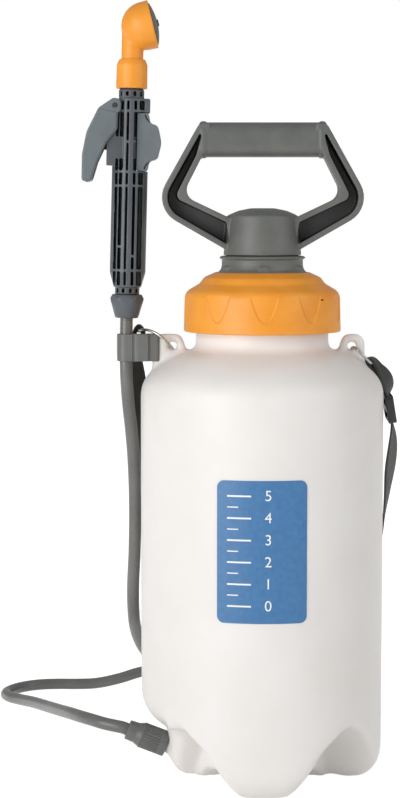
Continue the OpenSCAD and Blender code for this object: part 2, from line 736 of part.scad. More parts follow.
// Windows between the long ribs, on the front and the back of the body
module rib_windows() {
    difference() {
        union() {
            for (s = slots) translate([s.x - s.y / 2, -wand_r - cut, body_z + neck_l + 1.4])
                cube([s.y, 2 * (wand_r + cut), body_top - 1.8 - body_z - neck_l - 1.4]);
            for (a = [0 : 36 : 324], z = [body_z + 0.9, body_top + 1.8]) rotate(a)
                translate([core_r, -1.1, z]) cube([10, 2.2, 3.2]);
        }
        cylinder(r = core_r, h = tip_top);
        translate([-wand_r, -web_t / 2, 0]) cube([2 * wand_r, web_t, body_top]);
        for (z = ribs) translate([-wand_r, -wand_r - cut, z]) cube([2 * wand_r, 2 * (wand_r + cut), rib_t]);
        for (p = [[slots[1], 51.4], [slots[3], 44.6]])
            translate([p[0].x - 2, -wand_r, p[1]]) cube([4, 2 * wand_r, rib_t]);
        translate([-wand_r, -fork_half, stem_z - 8]) cube([wand_r + chamber_r, 2 * fork_half, 16]);
        translate([pivot.x - 4, -fork_half, pivot.y - 4.5]) cube([9, 2 * fork_half, 10]);
    }
}

cheek_x = 4.6;
lug_x = 9;
lug_r = pin_r + 1.3;
module wand_body() {
    color(wand_grey) wand_frame() difference() {
        union() {
            difference() {
                union() {
                    rotate_extrude() polygon([
                        [0, body_z], [8.9, body_z], [8.9, body_z + neck_l], [10, body_z + neck_l],
                        [wand_r, barrel_low], [wand_r, body_top], [9.3, body_top], [9.3, tip_top - 1.4],
                        [8.2, tip_top], [0, tip_top]]);
                    translate([-17, -fork_half, stem_z - 13]) cube([12, 2 * fork_half, 26]);
                    translate([0, -8.5, cap_high + 0.3]) cube([13.6, 17, body_top - cap_high - 0.3]);
                }
                rib_windows();
                for (s = [-1, 1]) translate([-30, s > 0 ? fork_half : -fork_half - 20, stem_z - 15])
                    cube([30 - cheek_x, 20, 80]);
                translate([-30, -20, stem_z + 13]) cube([30 - lug_x, 40, 24]);
            }
            translate([pivot.x, 0, pivot.y]) rotate([90, 0, 0])
                cylinder(r = lug_r, h = 2 * fork_half, center = true);
            translate([pivot.x, -fork_half, pivot.y - lug_r + 0.3]) cube([5, 2 * fork_half, 2 * lug_r - 0.6]);
        }
        translate([cap_in - 0.3, -20, cap_low - 0.3]) cube([20, 40, cap_high - cap_low + 0.6]);
        cylinder(r = wand_bore_r, h = tip_top + cut);
        translate([0, 0, body_z - cut]) cylinder(r = 3.2 + slip, h = 4.2 + cut);
        translate([chamber_x, 0, stem_z]) rotate([0, 90, 0]) cylinder(r = chamber_r, h = 30);
        translate([-40, 0, stem_z]) rotate([0, 90, 0]) cylinder(r = stem_r + slip, h = 50);
        translate([pivot.x, 0, pivot.y]) rotate([90, 0, 0]) cylinder(r = pin_r, h = 40, center = true);
    }
}

// Trigger: a thin moulded lever with a spine and two cheeks that straddle the body
trigger_line = [
    [-9.6, 158.6, 3], [-13, 158.9, 3], [-23.4, 151.6, 6], [-31.7, 134.2, 20], [-34.6, 118, 14],
    [-34.6, 99.4, 2], [-31, 98, 1.5], [-27.3, 99, 1.5], [-23.4, 112.6, 14], [-17, 127, 14],
    [-9.2, 136.8, 2.5], [-9.2, 148.4, 1], [-7, 150, 2], [-7, 157, 3]];
trigger_pad_x = -31.4;
module trigger() {
    inner = trigger_w - 2 * trigger_t;
    color(lever_grey) wand_frame() difference() {
        upright(trigger_w) polygon(rounded(trigger_line));
        upright(inner) polygon(rounded([
            [-4, 170, 0], [-13.8, 156.6, 1], [-21.6, 149.6, 4], [-29.4, 133.6, 18], [trigger_pad_x, 118, 12],
            [trigger_pad_x, 103, 1], [-28, 102, 1], [-20, 92, 0], [-4, 92, 0]]));
        translate([pivot.x, 0, pivot.y]) rotate([90, 0, 0]) cylinder(r = pin_r + slip, h = 40, center = true);
    }
}

module trigger_pin() {
    color(steel) wand_frame() translate([pivot.x, 0, pivot.y]) rotate([90, 0, 0])
        cylinder(r = pin_r, h = trigger_w + 0.8, center = true);
}

// Valve across the wand: the lever pushes the stem, and the spring in the cap shuts it
seal_x = chamber_x + 0.05;
valve_seal_t = 1.8;
head_x = seal_x + valve_seal_t;
head_t = 1.8;
head_r = 3.6;
valve_seal_r = 4.2;
pocket_x = 19;
pocket_r = 4.3;
spring_wire = 0.8;
module along_stem() {
    wand_frame() translate([0, 0, stem_z]) rotate([0, 90, 0]) children();
}

module valve_stem() {
    tip = trigger_pad_x + 1.2;
    color(rubber) along_stem() {
        translate([0, 0, tip]) cylinder(r = stem_r, h = 9.5 - tip);
        translate([0, 0, head_x]) cylinder(r = head_r, h = head_t);
    }
}

module valve_seal() {
    color(rubber) along_stem() translate([0, 0, seal_x]) difference() {
        cylinder(r = valve_seal_r, h = valve_seal_t);
        translate([0, 0, -cut]) cylinder(r = stem_r, h = valve_seal_t + 2 * cut);
    }
}

module valve_spring() {
    color(steel) along_stem()
        spring_coil(stem_r + 1, spring_wire, head_x + head_t + 0.05, pocket_x - 0.05, 8);
}

cap_end = 22.2;
cap_half = 8.5;
cap_mid = (cap_low + cap_high) / 2;
module valve_cap() {
    color(lever_grey) wand_frame() difference() {
        upright(2 * cap_half) polygon(rounded([
            [cap_in, cap_low, 0.6], [12.4, cap_low, 1.5], [14.2, cap_mid - 13.4, 4],
            [cap_end - 2.4, cap_mid - 12.2, 4], [cap_end + 0.3, cap_mid, 14], [cap_end - 2.4, cap_mid + 12.2, 4],
            [14.2, cap_mid + 13.4, 4], [12.8, cap_high, 1.5], [cap_in, cap_high, 0.6]]));
        translate([0, 0, stem_z]) rotate([0, 90, 0]) cylinder(r = pocket_r, h = pocket_x);
        for (s = [-1, 1], y = [-1, 1]) translate([18.5, y * cap_half, cap_mid + s * 21])
            rotate([90, 0, 0]) rotate_extrude(start = s > 0 ? 190 : 110, angle = 60)
            translate([8, 0]) square([1.1, 4], center = true);
    }
}

// Spray rose on a swivelling elbow, held by its nut
rose_nut_z = tip_top - 0.2;
rose_nut_l = 21.4;
rose_nut_r = 11.3;
ball_r = rose_r - 0.3;
ball_at = [8.8, 0, 211.3];
face_l = 5.8;
elbow_z = tip_top + 4;
module rose_nut() {
    color(orange) wand_frame() translate([0, 0, rose_nut_z]) rotate_extrude() polygon(rounded([
        [rose_neck_r + clear, 0.25, 0], [rose_nut_r, 0.25, 0.6], [rose_nut_r - 0.2, rose_nut_l - 4, 1.5],
        [rose_nut_r - 2, rose_nut_l, 0.6], [rose_neck_r + clear, rose_nut_l, 0]], 4));
}

module along_rose() {
    wand_frame() translate(ball_at) rotate([0, 90 - rose_slope, 0]) children();
}

module rose_elbow() {
    color(orange) difference() {
        union() {
            wand_frame() translate([0, 0, elbow_z]) cylinder(r = rose_neck_r, h = ball_at.z - elbow_z);
            along_rose() difference() {
                sphere(ball_r);
                cylinder(r = 2 * ball_r, h = 2 * ball_r);
            }
            along_rose() cylinder(r1 = ball_r, r2 = rose_r, h = face_l);
        }
        along_rose() translate([0, 0, 1]) cylinder(r = rose_r - 2.2, h = face_l + cut);
        along_rose() sphere(ball_r - 3);
        wand_frame() translate([0, 0, elbow_z - cut]) cylinder(r = rose_neck_r - 3, h = ball_at.z - elbow_z);
    }
}

plate_r = rose_r - 2.2 - clear / 2;
plate_ball_r = 42;
plate_rise = 3.4;
plug_r = 2.6;
module rose_plate() {
    color(grey) along_rose() difference() {
        intersection() {
            translate([0, 0, 1.2]) cylinder(r = plate_r, h = face_l + plate_rise);
            translate([0, 0, face_l + plate_rise - plate_ball_r]) sphere(plate_ball_r);
        }
        for (k = [1 : 3], i = [0 : 6 * k - 1]) rotate(60 * i / k) translate([4.3 * k, 0, 0])
            cylinder(r = 0.6, h = 30);
        translate([0, 0, -cut]) cylinder(r = plate_r - 3, h = face_l - 0.4 + cut);
        cylinder(r = plug_r, h = 30);
    }
}

module rose_plug() {
    color(rubber) along_rose() rotate_extrude() polygon(rounded([
        [0, face_l - 2, 0], [plug_r, face_l - 2, 0], [plug_r, face_l + plate_rise + 0.8, 0.8],
        [0, face_l + plate_rise + 0.8, 0]], 4));
}

// Wire rings that carry the strap, bent by hand through the ear holes
ear_left = [-ear_hole_x, 0, ear_hole_z];
ear_right = [ear_hole_x, 0, ear_hole_z];
left_loop = [
    [0, 0, -2.1], [-2.5, -6, 1.5], [-8, -8, 7], [-15, -5, 11], [-22, 1.5, 11.8], [-25, 7.5, 10.4],
    [-25.2, 13.5, 10.1], [-25, 19.5, 9.8], [-21.5, 23, 7], [-15, 20, 2], [-8, 13.5, -2], [-2.5, 6.5, -1]];
right_loop = [
    [0, 0, -2.1], [2.2, -5.5, -1.2], [6, -8, -4.5], [10.5, -6.5, -9], [14, -2, -12.4], [14.8, 4, -13],
    [14.8, 12.5, -13], [12.5, 17, -11], [7.5, 14.5, -6], [2.4, 7, -1.4]];
module ring_left() {
    path = [for (p = closed_spline(left_loop, 3)) ear_left + p];
    color(steel) wire_loop(path, ring_wire_d, [0.2, -0.5, 1], 8);
}

module ring_right() {
    path = [for (p = closed_spline(right_loop, 3)) ear_right + p];
    color(steel) wire_loop(path, ring_wire_d, [0.6, 0.2, 1], 8);
}

// Free courses are drawn round a bottle of this radius and keep their distance from any other
drawn_r = 89;
function with_wall(p) = p + (tank_r - drawn_r) * unit([p.x, p.y, 0]);

// Carrying strap: the places of its middle line, the directions of its width and how far it is gathered
strap_drawn = [
    [88, 8, 294.4], [83.6, 8, 299.8], [79.2, 8, 303.6], [77.2, 8, 307], [81.7, 8, 307.7], [86.2, 8, 302.2],
    [90.5, 8.2, 295.5], [93.3, 8.6, 287.4], [93.5, 9, 277], [95, 9.5, 268], [96.4, 10.2, 260], [97.2, 13, 245],
    [96.5, 18, 228], [95, 26, 205], [92, 38, 178], [85, 58, 148], [66, 86, 120], [36, 106, 103], [0, 112, 98],
    [-36, 106, 104], [-66, 86, 124], [-82, 62, 156], [-88, 50, 192], [-91, 41, 230], [-93.4, 34, 262],
    [-95, 28, 288], [-95.6, 23, 306], [-94.6, 16.5, 319], [-93.8, 13.5, 327.6], [-90.7, 13.5, 332],
    [-87.5, 13.5, 328], [-88.2, 13.5, 321], [-89.4, 14, 313.5]];
strap_run = [for (p = strap_drawn) with_wall(p)];
strap_lay = [
    [0, 1, 0], [0, 1, 0], [0, 1, 0], [0, 1, 0], [0, 1, 0], [0, 1, 0], [0, 1, 0],
    [0, 1, 0], [0, 1, 0], [0, 1, 0], [0.1, 1, 0.1], [0.35, 1, 0.2], [0.45, 1, 0.3],
    [0.3, 1, 0.4], [0.1, 0.8, 0.6], [-0.1, 0.6, 0.8], [-0.2, 0.3, 1], [0, 0, 1], [0, 0, 1],
    [0, 0, 1], [-0.1, -0.2, 1], [-0.1, -0.45, 0.9], [-0.15, -0.7, 0.7], [-0.3, -0.9, 0.4], [-0.4, -0.9, 0.1],
    [-0.4, -0.9, 0], [-0.4, -0.9, 0], [-0.15, -1, 0], [0, -1, 0], [0, -1, 0], [0, -1, 0], [0, -1, 0], [0, -1, 0]];
function strap_gather(i, last) = 0.4 + 0.6 * min(1, max(0, min(i - 5, last - 5.5 - i) / 2.5));
strap_steps = 3;
module strap() {
    path = spline(strap_run, strap_steps);
    lay = spline(strap_lay, strap_steps);
    t = directions(path);
    last = len(strap_run) - 1;
    points = [for (i = [0 : len(path) - 1])
        let (w = unit(lay[i] - (lay[i] * t[i]) * t[i]), m = cross(t[i], w))
        let (half = strap_w / 2 * strap_gather(i / strap_steps, last))
        each [for (k = [[1, 1], [-1, 1], [-1, -1], [1, -1]])
            path[i] + k.x * half * w + k.y * strap_t / 2 * m]];
    color(webbing) polyhedron(points, skin(len(path), 4, false));
}

// Slider that shortens the strap, on its straight stretch below the right ring
slider_h = 20;
slider_t = 6;
slider_gap = 1.15;
module strap_slider() {
    a = strap_run[8];
    b = strap_run[9];
    z = unit(a - b);
    x = unit(strap_lay[8] - (strap_lay[8] * z) * z);
    y = cross(z, x);
    m = (a + b) / 2;
    color(rubber) multmatrix([
        [x.x, y.x, z.x, m.x], [x.y, y.y, z.y, m.y], [x.z, y.z, z.z, m.z], [0, 0, 0, 1]])
        difference() {
            rotate([90, 0, 0]) linear_extrude(slider_t, center = true) polygon(rounded([
                [-strap_w / 2 - 3, -slider_h / 2, 2], [strap_w / 2 + 3, -slider_h / 2, 2],
                [strap_w / 2 + 3, slider_h / 2, 2], [-strap_w / 2 - 3, slider_h / 2, 2]]));
            cube([strap_w + 2 * slider_gap, strap_t + 2 * slider_gap, slider_h + 2 * cut], center = true);
            for (s = [-1, 1]) translate([0, 0, s * slider_h / 4])
                cube([strap_w - 1, slider_t + 2 * cut, slider_h / 4], center = true);
        }
}

// Hose from the outlet, out over the ground to the left and back to the coil behind the bottle
outlet_end = spout_at + union_end * [-cos(outlet_slope), 0, sin(outlet_slope)];
lie = hose_d / 2 + 0.15;
coil_low = hose_d / 2 + 1.2;
coil_high = coil_low + 9.8;
coil_at = [5, 212 + tank_r - drawn_r];
coil_start = 85;
coil_sweep = 895;
coil_climb = 180;
coil_widen = 200;
out_drawn = [
    [-108.3, 0.8, 34.6], [-116.5, 3.6, 35.7], [-124, 9, 36.5], [-131, 18, 36.2], [-137.5, 30, 35],
    [-145, 48, 32.6], [-156, 80, 27.3], [-170, 121, 20.7], [-183, 155, 15.5], [-195, 183, 10.8],
    [-207.5, 208.4, 7.5], [-211.5, 226, 5.8], [-208.5, 241.3, 5], [-199.8, 254.3, lie], [-186.8, 263, lie],
    [-171.5, 266, lie], [-152, 266, lie], [-136, 266.4, 5.5], [-117, 268.6, 9], [-96, 274, 14],
    [-72, 278, coil_high], [-45, 278, coil_high], [-20, 274.5, coil_high]];
out_run = [for (p = out_drawn) with_wall(p)];
up_drawn = [
    [-25, 154, coil_low], [-46, 152, 8], [-64, 142, 20], [-77, 122, 42], [-86, 96, 67],
    [-92, 74, 83], [-95, 54, 98], [-96, 38, 114], [-96, 28, 134], [-94.5, 21, 165],
    [-94, 18, 200], [-94.8, 14, 232], [-96.4, 8, 256], [-98.6, 2.5, 280]];
up_run = [for (p = up_drawn) with_wall(p)];

// The coil's radius shrinks over its upper layer and its way down, and soon grows again below
function coil_point(s) =
    let (half = (coil_sweep - coil_climb) / 2, low = half + coil_climb)
    let (wind = coil_step * low / 360, back = min(1, max(0, s - low) / coil_widen))
    let (r = coil_r - wind * (min(1, s / low) - back))
    let (drop = min(1, max(0, (s - half) / coil_climb)))
    let (a = coil_start - s)
    [coil_at.x + r * cos(a), coil_at.y + r * sin(a), coil_high + (coil_low - coil_high) * drop];

coil_rings = 60;
coil_path = [for (i = [0 : coil_rings]) coil_point(coil_sweep * i / coil_rings)];
fine_path = [for (i = [0 : 4 * coil_rings]) coil_point(coil_sweep * i / (4 * coil_rings))];
coil_gap = min([for (i = [0 : 4 * coil_rings], j = [i + 40 : 4 * coil_rings])
    if (j <= 4 * coil_rings) norm(fine_path[i] - fine_path[j])]) - hose_d;
echo(coil_least_gap_mm = coil_gap);

hose_sides = 10;
module hose_lower() {
    axis = [-cos(outlet_slope), 0, sin(outlet_slope)];
    path = concat([outlet_end], spline(concat([outlet_end + 4 * axis], out_run, [coil_path[0]]), 2));
    color(hose_grey) tube_along(path, hose_d, hose_sides);
}

module hose_coil() {
    color(hose_grey) tube_along(coil_path, hose_d, 6);
}

module hose_upper() {
    foot = wand_at - 6 * [sin(wand_lean), 0, cos(wand_lean)];
    low_clip = [hose_x, 0, clip_z - 3];
    path = concat(spline(concat([coil_path[coil_rings]], up_run, [low_clip]), 2), [foot, wand_at]);
    color(hose_grey) tube_along(path, hose_d, hose_sides);
}

// Band that ties the coil's two layers together
tie_w = 12;
tie_t = 0.8;
module hose_tie() {
    out = coil_r + hose_d / 2 + 1;
    in = coil_r - 1.25 * coil_step - hose_d / 2 - 1.5;
    top = coil_high + hose_d / 2 + 0.4;
    low = coil_low - hose_d / 2 - 0.35;
    color(rubber) translate([coil_at.x, coil_at.y, 0]) upright(tie_w) difference() {
        polygon(rounded([[in - tie_t, low - tie_t, 2], [out + tie_t, low - tie_t, 2],
            [out + tie_t, top + tie_t, 2], [in - tie_t, top + tie_t, 2]], 4));
        polygon(rounded([[in, low, 1.2], [out, low, 1.2], [out, top, 1.2], [in, top, 1.2]], 4));
    }
}

tank();
relief_body();
relief_cap();
relief_seal();
relief_spring();
relief_knob();
outlet_seal();
outlet_tail();
outlet_nut();
wand_clip();
collar();
neck_seal();
pump_barrel();
pump_gland();
rod_wiper();
check_cage();
check_disc();
piston();
piston_ring();
piston_rod();
pump_handle();
wand_tail();
wand_nut();
wand_body();
trigger();
trigger_pin();
valve_stem();
valve_seal();
valve_spring();
valve_cap();
rose_nut();
rose_elbow();
rose_plate();
rose_plug();
ring_left();
ring_right();
strap();
strap_slider();
hose_lower();
hose_coil();
hose_upper();
hose_tie();
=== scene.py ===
import math
import bmesh
import bpy
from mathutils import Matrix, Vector
from mathutils.bvhtree import BVHTree


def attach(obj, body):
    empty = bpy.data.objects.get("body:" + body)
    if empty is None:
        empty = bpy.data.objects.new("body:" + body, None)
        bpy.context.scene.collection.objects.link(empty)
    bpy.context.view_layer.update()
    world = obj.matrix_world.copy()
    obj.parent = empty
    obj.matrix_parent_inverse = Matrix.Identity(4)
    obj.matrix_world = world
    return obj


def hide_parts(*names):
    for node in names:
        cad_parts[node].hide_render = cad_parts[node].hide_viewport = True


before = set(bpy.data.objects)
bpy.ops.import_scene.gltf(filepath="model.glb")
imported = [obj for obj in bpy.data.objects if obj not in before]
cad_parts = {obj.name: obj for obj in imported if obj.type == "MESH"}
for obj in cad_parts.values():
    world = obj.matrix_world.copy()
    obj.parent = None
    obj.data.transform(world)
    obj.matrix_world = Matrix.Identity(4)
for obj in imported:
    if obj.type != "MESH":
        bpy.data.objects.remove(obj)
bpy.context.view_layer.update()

bpy.ops.object.select_all(action="DESELECT")

# Studio: the photographer's camera stands about a metre and a half in front of the bottle, a little to
# the left of its axis and above its middle, and looks slightly down. Two large soft boxes, a low strip
# of light for the feet and an even white room light the bottle, which stands on a white sweep.
camera_place = (-0.0455, -1.4908, 0.4135)
camera_pitch = 5.14
lens_mm = 61.30
sensor_mm = 24.0
room_light = 0.39

camera_data = bpy.data.cameras.new("camera")
camera_data.sensor_fit = "VERTICAL"
camera_data.sensor_height = sensor_mm
camera_data.lens = lens_mm
camera = bpy.data.objects.new("camera", camera_data)
bpy.context.scene.collection.objects.link(camera)
camera.location = camera_place
camera.rotation_euler = (math.radians(90 - camera_pitch), 0, 0)
bpy.context.scene.camera = camera
bpy.context.scene.view_settings.view_transform = "Standard"


def linear(code):
    """An sRGB hex colour as linear red, green, blue and alpha."""
    parts = [int(code[i:i + 2], 16) / 255 for i in (1, 3, 5)]
    return [c / 12.92 if c <= 0.04045 else ((c + 0.055) / 1.055) ** 2.4 for c in parts] + [1.0]


def add_node(tree, kind, inputs=None, links=None, **settings):
    """One shader node with its settings, its fixed inputs and what feeds its other inputs."""
    made = tree.nodes.new(kind)
    for name, value in settings.items():
        setattr(made, name, value)
    for name, value in (inputs or {}).items():
        made.inputs[name].default_value = value
    for name, source in (links or {}).items():
        tree.links.new(source, made.inputs[name])
    return made


def new_material(name):
    """A named material with only its output, and its tree."""
    made = bpy.data.materials.new(name)
    made.use_nodes = True
    made.node_tree.nodes.clear()
    return made, made.node_tree, add_node(made.node_tree, "ShaderNodeOutputMaterial")


def soft_box(name, place, aim, width, height, watts):
    """A large rectangular lamp that faces a point."""
    lamp = bpy.data.lights.new(name, "AREA")
    lamp.shape = "RECTANGLE"
    lamp.size = width
    lamp.size_y = height
    lamp.energy = watts
    made = bpy.data.objects.new(name, lamp)
    bpy.context.scene.collection.objects.link(made)
    made.location = place
    made.rotation_euler = (Vector(aim) - Vector(place)).to_track_quat("-Z", "Y").to_euler()


soft_box("key_box", (-1.3, -1.35, 0.75), aim=(0, 0, 0.3), width=1.2, height=1.2, watts=16.5)
soft_box("fill_box", (1.5, -0.9, 1.05), aim=(0, 0, 0.3), width=1.2, height=1.4, watts=9)
soft_box("low_box", (-1.15, -1.35, 0.16), aim=(0, 0, 0.06), width=1.4, height=0.24, watts=5)

# The room is white where it is seen, also through clear things, and dimmer where it only lights.
room = bpy.data.worlds.new("white_room")
room.use_nodes = True
bpy.context.scene.world = room
room.node_tree.nodes.clear()
seen = add_node(room.node_tree, "ShaderNodeLightPath")
in_view = add_node(room.node_tree, "ShaderNodeMath", links={0: seen.outputs["Is Camera Ray"],
                   1: seen.outputs["Is Transmission Ray"]}, operation="MAXIMUM")
brightness = add_node(room.node_tree, "ShaderNodeMapRange", {"To Min": room_light, "To Max": 1.0},
                      {"Value": in_view.outputs[0]})
glow = add_node(room.node_tree, "ShaderNodeBackground", {"Color": (1, 1, 1, 1)},
                {"Strength": brightness.outputs[0]})
add_node(room.node_tree, "ShaderNodeOutputWorld", links={"Surface": glow.outputs[0]})

# Paper sweep: matt white paper. It is burnt out to white in view, but for a soft patch round the bottle's
# foot, where the contact shadow shows.
sweep_size = 9
patch_r, burnt_r = 0.15, 0.45
patch_share = 0.78
burnt_strength = 1.2
bpy.ops.mesh.primitive_plane_add(size=sweep_size, location=(0, 0, 0))
sweep = bpy.context.object
sweep.name = "paper_sweep"
paper, tree, out = new_material("matt_white_paper")
where = add_node(tree, "ShaderNodeTexCoord")
matt = add_node(tree, "ShaderNodeBsdfDiffuse", {"Color": linear("#fcfcfc")})
white = add_node(tree, "ShaderNodeEmission", {"Color": (1, 1, 1, 1), "Strength": burnt_strength})
path = add_node(tree, "ShaderNodeLightPath")
shown = add_node(tree, "ShaderNodeMath", links={0: path.outputs["Is Camera Ray"],
                 1: path.outputs["Is Glossy Ray"]}, operation="MAXIMUM")
away = add_node(tree, "ShaderNodeVectorMath", links={0: where.outputs["Object"]}, operation="LENGTH")
burnt = add_node(tree, "ShaderNodeMapRange",
                 {"From Min": patch_r, "From Max": burnt_r, "To Min": patch_share, "To Max": 1.0},
                 {"Value": away.outputs["Value"]}, interpolation_type="SMOOTHSTEP")
share = add_node(tree, "ShaderNodeMath", links={0: shown.outputs[0], 1: burnt.outputs[0]},
                 operation="MULTIPLY")
mix = add_node(tree, "ShaderNodeMixShader",
               links={0: share.outputs[0], 1: matt.outputs[0], 2: white.outputs[0]})
tree.links.new(mix.outputs[0], out.inputs["Surface"])
sweep.data.materials.append(paper)
bpy.ops.object.select_all(action="DESELECT")

# Hose: one length of flexible grey PVC tube, extruded with a satin skin. It leaves the outlet nut,
# runs out over the ground to the left, lies tied in a coil behind the bottle and climbs through the
# clip to the foot of the wand.
hose_d = 0.0093
outlet_end = (-0.09943, 0, 0.03226)
hose_out = [(-0.10316, 0, 0.03369), (-0.1083, 0.0008, 0.0346), (-0.1165, 0.0036, 0.0357),
            (-0.124, 0.009, 0.0365), (-0.131, 0.018, 0.0362), (-0.1375, 0.030, 0.035),
            (-0.145, 0.048, 0.0326), (-0.156, 0.080, 0.0273), (-0.170, 0.121, 0.0207),
            (-0.183, 0.155, 0.0155), (-0.195, 0.183, 0.0108), (-0.2075, 0.2084, 0.0075),
            (-0.2115, 0.226, 0.0058), (-0.2085, 0.2413, 0.005), (-0.1998, 0.2543, 0.0048),
            (-0.1868, 0.263, 0.0048), (-0.1715, 0.266, 0.0048), (-0.152, 0.266, 0.0048),
            (-0.136, 0.2664, 0.0055), (-0.117, 0.2686, 0.009), (-0.096, 0.274, 0.014),
            (-0.072, 0.278, 0.01565), (-0.045, 0.278, 0.01565), (-0.020, 0.2745, 0.01565)]
hose_up = [(-0.025, 0.154, 0.00585), (-0.046, 0.152, 0.008), (-0.064, 0.142, 0.020),
           (-0.077, 0.122, 0.042), (-0.086, 0.096, 0.067), (-0.092, 0.074, 0.083),
           (-0.095, 0.054, 0.098), (-0.096, 0.038, 0.114), (-0.096, 0.028, 0.134),
           (-0.0945, 0.021, 0.165), (-0.094, 0.018, 0.200), (-0.0948, 0.014, 0.232),
           (-0.0964, 0.008, 0.256), (-0.0986, 0.0025, 0.280), (-0.09976, 0, 0.3044),
           (-0.09935, 0, 0.333), (-0.0992, 0, 0.339)]
coil_middle = (0.005, 0.212)
coil_r = 0.058
coil_step = 0.0099
coil_levels = (0.01565, 0.00585)
coil_turn = 895
coil_climb = 180
coil_widen = 200
coil_start = 85
coil_points = 60


def coil_point(s):
    """A point of the coil, s degrees from its start: in over the upper layer, then out over the lower."""
    half = (coil_turn - coil_climb) / 2
    low = half + coil_climb
    wind = coil_step * low / 360
    r = coil_r - wind * (min(1, s / low) - min(1, max(0, s - low) / coil_widen))
    drop = min(1, max(0, (s - half) / coil_climb))
    a = math.radians(coil_start - s)
    z = coil_levels[0] + (coil_levels[1] - coil_levels[0]) * drop
    return (coil_middle[0] + r * math.cos(a), coil_middle[1] + r * math.sin(a), z)


coil = [coil_point(coil_turn * i / coil_points) for i in range(coil_points + 1)]
hose_line = [outlet_end] + hose_out + coil + hose_up
hose_curve = bpy.data.curves.new("hose", "CURVE")
hose_curve.dimensions = "3D"
hose_curve.bevel_depth = hose_d / 2
hose_curve.bevel_resolution = 6
hose_curve.resolution_u = 6
hose_curve.use_fill_caps = True
strand = hose_curve.splines.new("BEZIER")
strand.bezier_points.add(len(hose_line) - 1)
for place, point in zip(hose_line, strand.bezier_points):
    point.co = place
    point.handle_left_type = "AUTO"
    point.handle_right_type = "AUTO"
hose = bpy.data.objects.new("hose", hose_curve)
bpy.context.scene.collection.objects.link(hose)

# Flexible PVC: plasticised and extruded, so a soft satin sheen, faint cloudy tone and light scuffs.
pvc_cloud, pvc_scuff = 0.030, 0.0012
pvc, tree, out = new_material("grey_flexible_pvc")
where = add_node(tree, "ShaderNodeTexCoord")
cloud = add_node(tree, "ShaderNodeTexNoise", {"Scale": 1 / pvc_cloud, "Detail": 3.0},
                 {"Vector": where.outputs["Object"]})
tone = add_node(tree, "ShaderNodeValToRGB", links={"Fac": cloud.outputs["Fac"]})
tone.color_ramp.elements[0].position = 0.35
tone.color_ramp.elements[0].color = linear("#646462")
tone.color_ramp.elements[1].position = 0.7
tone.color_ramp.elements[1].color = linear("#70706e")
scuff = add_node(tree, "ShaderNodeTexNoise", {"Scale": 1 / pvc_scuff, "Detail": 2.0},
                 {"Vector": where.outputs["Object"]})
gloss = add_node(tree, "ShaderNodeMapRange", {"To Min": 0.24, "To Max": 0.34},
                 {"Value": scuff.outputs["Fac"]})
skin = add_node(tree, "ShaderNodeBump", {"Strength": 0.06, "Distance": 0.0003},
                {"Height": scuff.outputs["Fac"]})
body = add_node(tree, "ShaderNodeBsdfPrincipled", {"IOR": 1.53},
                {"Base Color": tone.outputs["Color"], "Roughness": gloss.outputs[0],
                 "Normal": skin.outputs[0]})
tree.links.new(body.outputs[0], out.inputs["Surface"])
hose_curve.materials.append(pvc)
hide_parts("hose_lower", "hose_coil", "hose_upper")
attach(hose, "bottle")

# Hose tie: a band of black rubber stretched round the coil's two layers.
# It is a cut ring of tube, so its edges are square and its skin is matt with a fine moulded grain.
rubber_grain = 0.0008
rubber, tree, out = new_material("black_moulded_rubber")
where = add_node(tree, "ShaderNodeTexCoord")
grain = add_node(tree, "ShaderNodeTexNoise", {"Scale": 1 / rubber_grain, "Detail": 3.0},
                 {"Vector": where.outputs["Object"]})
tone = add_node(tree, "ShaderNodeValToRGB", links={"Fac": grain.outputs["Fac"]})
tone.color_ramp.elements[0].color = linear("#1f1f1f")
tone.color_ramp.elements[1].color = linear("#343434")
rough = add_node(tree, "ShaderNodeMapRange", {"To Min": 0.6, "To Max": 0.8},
                 {"Value": grain.outputs["Fac"]})
skin = add_node(tree, "ShaderNodeBump", {"Strength": 0.15, "Distance": 0.0002},
                {"Height": grain.outputs["Fac"]})
body = add_node(tree, "ShaderNodeBsdfPrincipled", {"IOR": 1.52},
                {"Base Color": tone.outputs["Color"], "Roughness": rough.outputs[0],
                 "Normal": skin.outputs[0]})
tree.links.new(body.outputs[0], out.inputs["Surface"])


def dress(material, *names):
    """Gives CAD nodes a material in place of their plain one."""
    for name in names:
        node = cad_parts[name]
        node.data.materials.clear()
        node.data.materials.append(material)


dress(rubber, "hose_tie", "outlet_seal", "neck_seal", "rod_wiper", "check_disc", "piston_ring",
      "valve_seal", "relief_seal", "rose_plug")

# Bottle: blow-moulded natural polyethylene with four soft feet, two carrying ears and a pocket for the
# outlet. The mould leaves every edge rounded, so the solid's outer skin is evened and eased, the valleys
# between its feet are drawn up, and the wall's thickness is put back inside it.
tank_wall = 0.0025
tank_voxel = 0.0019
skin_rounds, foot_rounds, pocket_rounds = 14, 40, 500
skin_keep = 0.4
look_r, look_z, look_ways = 0.05, 0.1, 8
off_face = 0.0001
merge_gap = 0.00001
foot_pitch = 90
foot_high, foot_fade, foot_rest = 0.10, 0.04, 0.008
# Degrees from the middle of a foot, and how far the base is drawn up there
valley_lift = [(0, 0), (14, 0), (23, 0.005), (29, 0.0085), (36, 0.009), (45, 0.009)]
valley_high, valley_inner, valley_fade = 0.050, 0.010, 0.025
pocket_corners = [(-0.0715, -0.053, 0.062), (-0.0715, 0.053, 0.062), (-0.066, -0.042, 0.024),
                  (-0.066, 0.042, 0.024)]
pocket_ease = 0.028
neck_top = 0.350
neck_rim = 0.002
neck_bore_r = 0.0445


